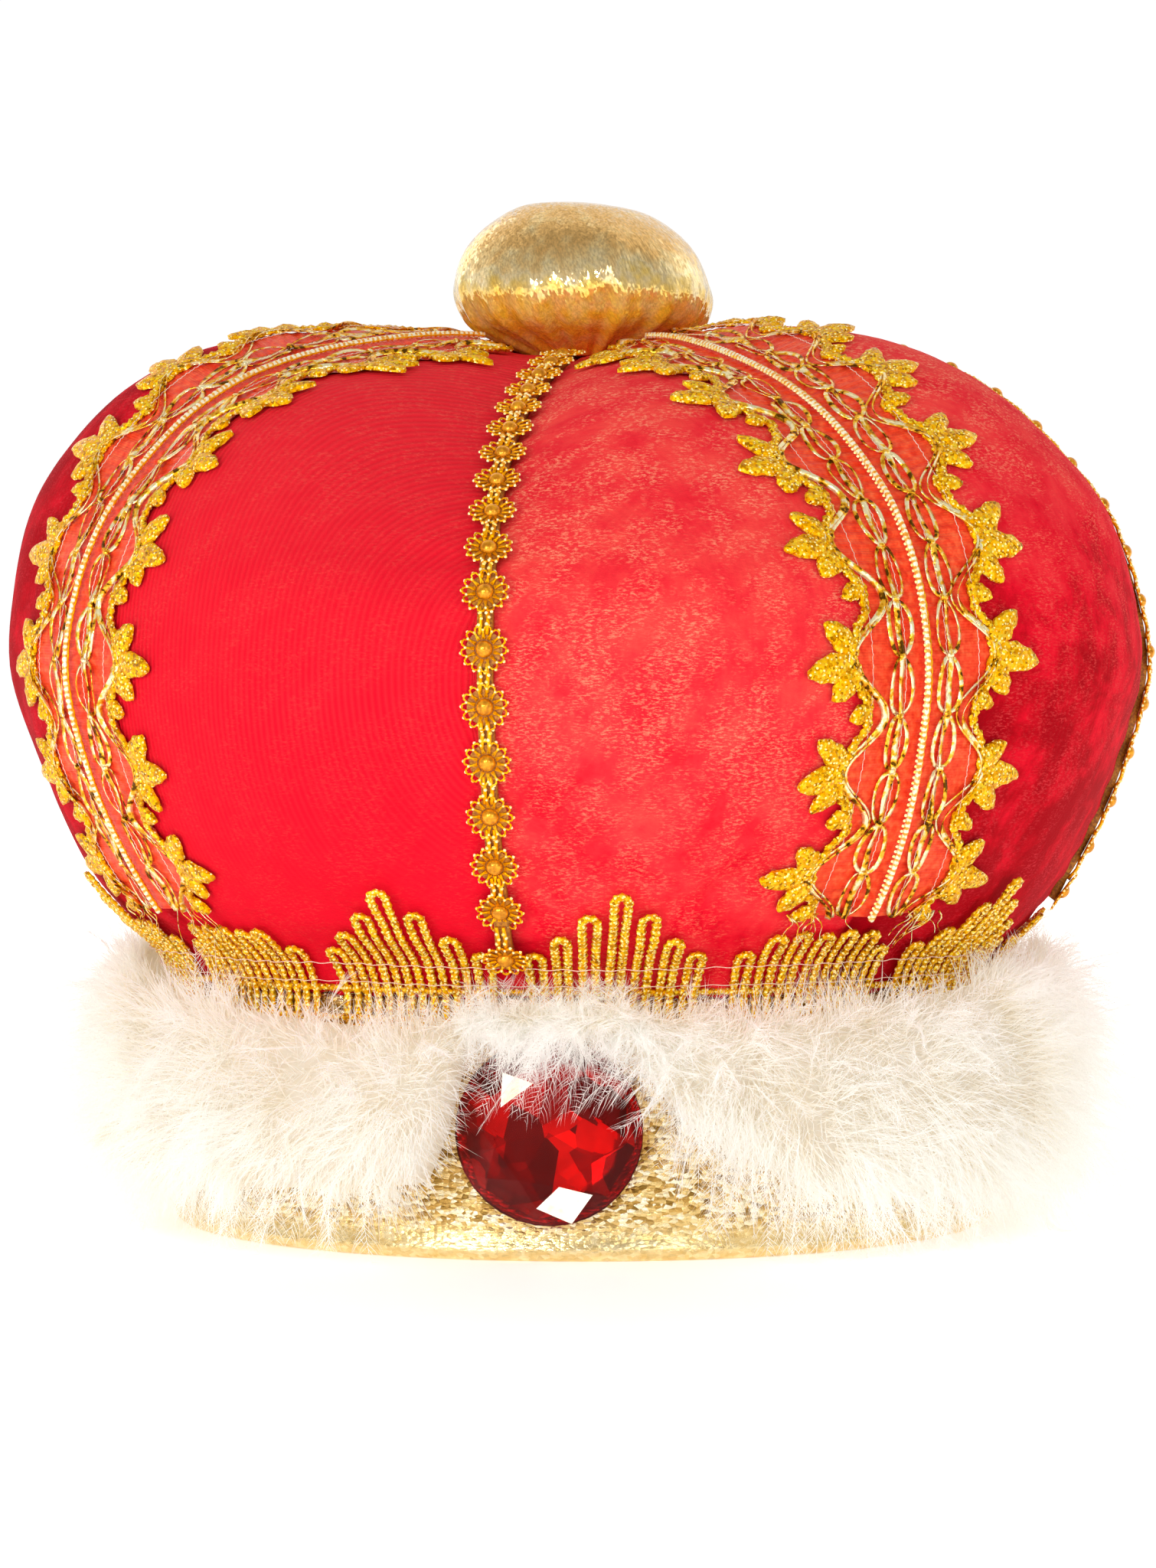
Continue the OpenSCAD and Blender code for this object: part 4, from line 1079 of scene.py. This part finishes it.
# Each cell painted from dark olive to near white: a painted reflection
painted_cell_reflection = node(tree, "ValToRGB", {"stops": [(0.0, "#8C6A28"), (0.3, "#D0A656"), (0.6, "#F0D490"),
    (0.85, "#FFF6D8")]}, {"Fac": node(tree, "SeparateColor", {}, {0: knit_cells.outputs["Color"]})})
soft_tone = node(tree, "ValToRGB", {"stops": [(0.3, "#E0BC70"), (0.7, "#FBE6B0")]}, {"Fac": crinkles})
band_tone = node(tree, "MixRGB", {}, {"Fac": rough_share, "Color1": soft_tone, "Color2": painted_cell_reflection})
crinkled = node(tree, "Bump", {"Strength": 1.0, "Distance": 0.75 * mm}, {"Height": grain_h})
band_film = node(tree, "BsdfPrincipled", {"Metallic": 0.75, "Roughness": 0.2},
    {"Base Color": band_tone, "Normal": crinkled})
node(tree, "OutputMaterial", {}, {"Surface": band_film})
headband = new_piece("lame_band", [(band_points.reshape(-1, 3),
    [grid_faces(len(band_section), band_columns, True, True)], 0)], [band_lame],
    values={"around": (section_turn * band_r).ravel(), "upward": section_z.ravel()})
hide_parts("headband")

# Boa
# White marabou wound once round the band: soft feathers set on a cord, so closely that
# only their down shows. Its upper edge sags at the front. It parts over the stone, where
# single small feathers fall across it.
stone_angle, stone_z, stone_r, stone_gap = 4.6, 30, 21.5, 0.6
# The boa's core from its lower inner edge round the outside to its upper inner edge.
# Columns: thickness out from the band, share of the core's height.
boa_rows = np.array([
    [0.6, 0.02], [8.0, 0.00], [13.0, 0.14], [15.0, 0.34],
    [15.5, 0.56], [14.5, 0.78], [12.5, 0.94], [8.0, 1.00]])
boa_inner_r = 102.7
boa_low, boa_high = 12, 64
boa_rise, boa_rise_w = 7, 42
boa_sag, boa_sag_ease = 11, 1.5
boa_step = 0.8
part_low, part_lift, part_thin, thin_over = 53, 4, 0.8, 5
# How much shorter barbs and feathers are over the stone, and barbs at the lower and upper edge
part_short, part_short_feather = 0.42, 0.5
low_edge_row, low_edge_short, high_edge_row, high_edge_short = 2.4, 0.5, 5.5, 0.15
# How far barbs stray from the middle of their clump, in degrees and rows
stray_turn, stray_rows = 1.5, 0.45
shaft_half, fine_barb_half = 0.13, 0.085
table_gap = 0.6


def part_at(angle):
    """How far the boa is parted by the stone, closely at its left and slowly at its right."""
    off = off_angle(angle, stone_angle)
    return np.interp(off, [-15.5, -12.5, -10, 9.1, 13.6, 18, 32], [0, 0.36, 1, 1, 0.6, 0.4, 0])


def boa_point(angle, row):
    """A point in mm on the boa's core, at degrees round the crown and at a row of boa_rows."""
    angle, row = np.broadcast_arrays(np.asarray(angle, float), np.asarray(row, float))
    part = part_at(angle)
    shares = shares_at(boa_rows, row)
    off = off_angle(angle, stone_angle)
    open_low = boa_low + boa_rise * np.exp(-(off / boa_rise_w) ** 2)
    low = open_low + (part_low - open_low) * part
    high = boa_high - boa_sag * np.maximum(0, np.cos(np.radians(angle))) ** boa_sag_ease + part_lift * part
    lump = 1 + 0.06 * np.sin(np.radians(angle) * 17 + 1.3 * row) + 0.05 * np.sin(np.radians(angle) * 29 - row)
    r = boa_inner_r + shares[..., 0] * lump - part_thin * part * np.maximum(0, shares[..., 0] - thin_over)
    return round_crown(r, np.radians(angle), low + (high - low) * shares[..., 1])


boa_last = len(boa_rows) - 1
core_columns, core_rings = 300, 20
core_angle, core_row = np.meshgrid(np.arange(core_columns) * 360 / core_columns,
    np.linspace(0, boa_last, core_rings))
core = boa_point(core_angle, core_row)
core_step_z = core[:1, :, 2] + (core[-1:, :, 2] - core[:1, :, 2]) * boa_step
core_step = round_crown(boa_inner_r, np.radians(core_angle[:1]), core_step_z)
core_points = np.concatenate([core, core_step])


def strips(root, heading, curl, length, half_width, random, points=4):
    """Fine barbs as narrow curved strips that taper to a point."""
    t = np.linspace(0, 1, points)[None, :, None]
    line = root[:, None] + length[:, None, None] * (t * heading[:, None] + 0.5 * t**2 * curl[:, None])
    # Nothing reaches the table
    line[..., 2] = np.maximum(line[..., 2], table_gap)
    side = unit(np.cross(heading, random.normal(0, 1, (len(root), 3))))
    half = half_width[:, None, None] * np.linspace(1.0, 0.5, points - 1)[None, :, None]
    left, right = line[:, :-1] - half * side[:, None], line[:, :-1] + half * side[:, None]
    size, n = 2 * points - 1, points - 1
    start = (np.arange(len(root)) * size)[:, None]
    quads = np.concatenate([start + np.array([k, k + n, k + n + 1, k + 1]) for k in range(points - 2)])
    return (np.concatenate([left, right, line[:, -1:]], 1).reshape(-1, 3),
        [quads, start + np.array([n - 1, 2 * n - 1, 2 * n])])


def roots_on_boa(angle, row):
    """Places on the boa's core with their outward directions and tangents round the crown."""
    here = boa_point(angle, row)
    round_it = unit(boa_point(angle + 0.5, row) - here)
    up_it = unit(boa_point(angle, np.minimum(row + 0.1, boa_last)) - boa_point(angle, row - 0.1))
    return here, unit(np.cross(round_it, up_it)), round_it


def barbs(count, length_low, length_high, half_width, clumps, spread, droop, random):
    """Barbs in clumps: each leans to its clump's own side, bends down and fans out a little."""
    clump_angle, clump_row = random.uniform(0, 360, clumps), random.uniform(0.7, boa_last - 0.15, clumps)
    pick = random.integers(0, clumps, count)
    angle = clump_angle[pick] + random.normal(0, stray_turn, count)
    row = np.clip(clump_row[pick] + random.normal(0, stray_rows, count), 0.6, boa_last - 0.05)
    root, outward, _ = roots_on_boa(angle, row)
    fall = (row / boa_last - 0.55)[:, None] * [0, 0, 0.9]
    heading = unit(outward + fall + random.normal(0, spread, (clumps, 3))[pick]
        + random.normal(0, 0.22, (count, 3)))
    curl = random.normal(0, 0.34, (clumps, 3))[pick] + random.normal(0, 0.20, (count, 3)) + [0, 0, -droop]
    length = random.uniform(length_low, length_high, count) * (1 - part_short * part_at(angle))
    # The edges are kept shorter, so that the lace and the band show
    length *= 1 - high_edge_short * np.clip(row - high_edge_row, 0, 1)
    length *= 1 - low_edge_short * np.clip(low_edge_row - row, 0, 1)
    return strips(root, heading, curl, length, half_width * random.uniform(0.7, 1.3, count), random)


def small_feathers(root, heading, curl, length, random, barb_count=34, barb_length=6.5):
    """Small down feathers: a fine shaft with barbs on both sides, longest below the middle."""
    count = len(root)
    shafts = strips(root, heading, curl, length, np.full(count, shaft_half), random, points=6)
    t = np.linspace(0.12, 0.98, barb_count)[None, :, None]
    place = root[:, None] + length[:, None, None] * (t * heading[:, None] + 0.5 * t**2 * curl[:, None])
    ahead = unit(heading[:, None] + t * curl[:, None])
    flat = unit(np.cross(heading, random.normal(0, 1, (count, 3))))
    side = np.where(np.arange(barb_count)[None, :, None] % 2, 1, -1) * flat[:, None]
    barb_heading = unit(0.75 * ahead + side + random.normal(0, 0.18, place.shape)).reshape(-1, 3)
    barb_curl = (0.7 * ahead - 0.25 * side + [0, 0, -0.2]).reshape(-1, 3)
    reach = (barb_length * np.sin(np.pi * (0.12 + 0.83 * t[..., 0])) ** 0.7
        * random.uniform(0.7, 1.2, (count, barb_count))).ravel()
    fine = strips(place.reshape(-1, 3), barb_heading, barb_curl, reach,
        np.full(len(reach), fine_barb_half), random, points=3)
    return joined([shafts, fine])


# Marabou down, bleached white and partly translucent, with a faint painted glow; its colour is
# painted warmer and darker towards the barbs' roots and on the core, a painted shade in the hollows
marabou, tree, where = new_surface("white_marabou_down")
tufts = node(tree, "TexNoise", {"grain_mm": 14, "Detail": 3.0}, {"Vector": where})
tip_share = node(tree, "Attribute", {"attribute_name": "tip"}).outputs["Fac"]
tuft_share = node(tree, "MapRange", {"range": (0.35, 0.65, -0.15, 0.15)}, {"Value": tufts})
root_shade_and_tufts = node(tree, "Math", {"operation": "ADD"}, {0: tip_share, 1: tuft_share})
# Painted shade: warm cream at the roots and on the core, white at the tips, varied by tufts
down_tone = node(tree, "ValToRGB", {"stops": [(0.0, "#F6F0E2"), (0.3, "#FBF8F1"), (0.65, "#FFFFFD")]},
    {"Fac": root_shade_and_tufts})
# Emission: a faint painted glow
matt = node(tree, "BsdfPrincipled", {"Roughness": 0.9, "Specular IOR Level": 0.1,
    "Emission Strength": 0.11}, {"Base Color": down_tone, "Emission Color": down_tone})
through = node(tree, "BsdfTranslucent", {}, {"Color": down_tone})
mixed = node(tree, "MixShader", {"Fac": 0.5}, {1: matt, 2: through})
node(tree, "OutputMaterial", {}, {"Surface": mixed})

random = np.random.default_rng(60)
# Barbs of the down and of the plumes over it, in mm
down_count, plume_count = 25000, 27500
down_barbs = {"length_low": 5, "length_high": 10, "half_width": 0.19, "clumps": 2300, "spread": 0.30,
    "droop": 0.15}
plume_barbs = {"length_low": 9, "length_high": 21, "half_width": 0.11, "clumps": 480, "spread": 0.52,
    "droop": 0.55}
# From 0 at a barb's root to 1 at its tip, in the order of its points
barb_tips = np.array([0, 1, 2, 0, 1, 2, 3]) / 3
# The core and the barbs' roots take the painted shade of the hollows
down = new_piece("marabou_down", [(core_points.reshape(-1, 3),
    [grid_faces(core_rings + 1, core_columns, True, True)], 0),
    (*barbs(down_count, random=random, **down_barbs), 0)], [marabou],
    values={"tip": np.concatenate([np.full(core_points.size // 3, 0.1),
    np.tile(0.1 + 0.6 * barb_tips, down_count)])})
new_piece("marabou_plumes", [(*barbs(plume_count, random=random, **plume_barbs), 0)], [marabou],
    values={"tip": np.tile(0.2 + 0.8 * barb_tips, plume_count)})
# Columns: how many, from and to which angle and row of the boa, least and most length in mm,
# how far they hang down
feather_groups = ((540, 0, 360, 0.8, 6.6, 11, 18, 0.0), (80, 17, 60, 0.9, 3.0, 14, 23, 0.9),
    (95, 35, 112, 1.2, 6.0, 15, 23, 0.0), (60, -80, -10, 1.0, 5.0, 13, 20, 0.2),
    (60, -7, 18, 2.5, 6.6, 14, 22, 0.2))
loose = []
for count, angle_low, angle_high, row_low, row_high, short, long, hang in feather_groups:
    feather_angle = random.uniform(angle_low, angle_high, count)
    feather_row = random.uniform(row_low, row_high, count)
    root, outward, _ = roots_on_boa(feather_angle, feather_row)
    fall = (feather_row / boa_last - 0.62)[:, None] * [0, 0, 1.5] - [0, 0, hang]
    loose.append(small_feathers(root, unit(outward + fall + random.normal(0, 0.35, root.shape)),
        random.normal(0, 0.35, root.shape) + [0, 0, -0.4],
        random.uniform(short, long, count) * (1 - part_short_feather * part_at(feather_angle)), random))
# Over the stone they hang from the boa's upper right and sweep down to the left
over_count = 36
over_angle = stone_angle + random.uniform(-4, 17, over_count)
root, outward, round_it = roots_on_boa(over_angle, random.uniform(2.0, 5.5, over_count))
over = small_feathers(root, unit(0.75 * outward - 0.45 * round_it + [0, 0, -0.55]
    + random.normal(0, 0.15, root.shape)), -0.35 * outward - 0.25 * round_it + [0, 0, -0.9],
    random.uniform(13, 24, over_count), random, barb_count=40, barb_length=6.0)
feather_parts = joined(loose + [over])
new_piece("marabou_feathers", [(*feather_parts, 0)], [marabou],
    values={"tip": np.ones(len(feather_parts[0]))})
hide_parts("boa")

# Stone
# A large round stone of clear red acrylic, cut and polished, with a foil back. It is glued
# to the band at the front, a little to the right of the seam.
stone_depth, girdle_low, girdle_high = 10.0, 1.4, 2.5
table_share, star_share, star_rise, back_share = 0.56, 0.80, 0.52, 0.95
corners, first_corner = 8, math.radians(14)
# Shares of the stone's radius and heights in mm of the foil's edge, inner ring and middle
foil_edge, foil_edge_h, foil_inner, foil_inner_h, foil_mid_h = 0.90, 1.3, 0.45, 0.9, 0.5
corner_turn = np.arange(corners) * 2 * np.pi / corners + first_corner
between_turn = corner_turn + np.pi / corners
girdle_turn = np.arange(4 * corners) * 2 * np.pi / (4 * corners) + first_corner
stone_points = np.concatenate([circle(stone_r * table_share, corner_turn, stone_depth),
    circle(stone_r * star_share, between_turn, girdle_high + (stone_depth - girdle_high) * star_rise),
    circle(stone_r, girdle_turn, girdle_high), circle(stone_r, girdle_turn, girdle_low),
    circle(stone_r * back_share, girdle_turn, 0)])
k = np.arange(corners)
star, girdle_at, low_at, back_at = corners + k, 2 * corners, 6 * corners, 10 * corners
star_facets = np.stack([k, star, np.roll(k, -1)], 1)
kite_facets = np.stack([k, np.roll(star, 1), girdle_at + 4 * k, star], 1)
stone_faces = [np.arange(corners)[None], star_facets[[0, 1, 3, 4, 5, 6, 7]],
    kite_facets[[0, 1, 2, 3, 4, 5, 7]]]
for i in range(4):
    a, b = girdle_at + (4 * k + i), girdle_at + (4 * k + i + 1) % (4 * corners)
    stone_faces.append(np.stack([star, a, b], 1))
g = np.arange(4 * corners)
h = np.roll(g, -1)
stone_faces += [np.stack([girdle_at + g, low_at + g, low_at + h, girdle_at + h], 1),
    np.stack([low_at + g, back_at + g, back_at + h, low_at + h], 1), (back_at + g)[None, ::-1]]
# The two facets that take the painted reflection
flashing = [star_facets[[2]], kite_facets[[6]]]
foil_ring = np.concatenate([circle(stone_r * foil_edge, between_turn, foil_edge_h),
    circle(stone_r * foil_inner, corner_turn, foil_inner_h), [[0, 0, foil_mid_h]]])
foil_faces = [np.stack([k, np.roll(k, -1), corners + np.roll(k, -1)], 1),
    np.stack([k, corners + np.roll(k, -1), corners + k], 1),
    fan(corners + k, 2 * corners)]


def set_in_band(points):
    """From the stone's own frame, its back at height 0, to its place on the band in mm."""
    a = math.radians(stone_angle)
    right, outward = np.array([math.cos(a), math.sin(a), 0]), np.array([math.sin(a), -math.cos(a), 0])
    return ((band_r + stone_gap) * outward + [0, 0, stone_z] + points[:, :1] * right
        + points[:, 1:2] * [0, 0, 1] + points[:, 2:] * outward)


# Cast acrylic, clear deep red: sharp facets that show the foil and mirror the lamps
red_acrylic, tree, where = new_surface("clear_red_acrylic")
ruby_tone = mottled(tree, where, 6, [(0.35, "#BC0618"), (0.65, "#E41C2C")], 2.0)[1]
ruby = node(tree, "BsdfPrincipled", {"Roughness": 0.02, "IOR": 1.49, "Transmission Weight": 1.0,
    "Coat Weight": 0.1, "Coat Roughness": 0.02, "Coat IOR": 1.5, "Specular Tint": linear("#FF3C2C")},
    {"Base Color": ruby_tone})
node(tree, "OutputMaterial", {}, {"Surface": ruby})
# Two facets painted near white and glowing: a painted reflection of a bright light, thrown to the front
painted_flash, tree, where = new_surface("painted_reflection_facet")
painted_flash_tone = mottled(tree, where, 5, [(0.4, "#FFD8C0"), (0.55, "#FFFBF0")])[1]
flashes = node(tree, "BsdfPrincipled", {"Roughness": 0.05, "Coat Weight": 1.0, "Emission Strength": 0.35},
    {"Base Color": painted_flash_tone, "Emission Color": painted_flash_tone})
node(tree, "OutputMaterial", {}, {"Surface": flashes})
# The foil behind it, aluminium sputtered on lacquer: a broken orange-red mirror, its cells painted dark to
# bright as painted reflections, with a faint painted glow
stone_foil, tree, where = new_surface("red_mirror_foil")
facets = node(tree, "TexVoronoi", {"grain_mm": 7}, {"Vector": where})
foil_painted_facets = node(tree, "ValToRGB", {"stops": [(0.15, "#5C020C"), (0.5, "#B00C1C"), (0.85, "#FA5030")]},
    {"Fac": node(tree, "SeparateColor", {}, {0: facets.outputs["Color"]})})
mirror = node(tree, "BsdfPrincipled", {"Metallic": 0.8, "Roughness": 0.12, "Emission Strength": 0.12},
    {"Base Color": foil_painted_facets, "Emission Color": foil_painted_facets})
node(tree, "OutputMaterial", {}, {"Surface": mirror})
stone = new_piece("red_stone", [(set_in_band(stone_points), stone_faces, 0),
    (set_in_band(foil_ring), foil_faces, 1), (set_in_band(stone_points), flashing, 2)],
    [red_acrylic, stone_foil, painted_flash], smooth=False)
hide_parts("stone")
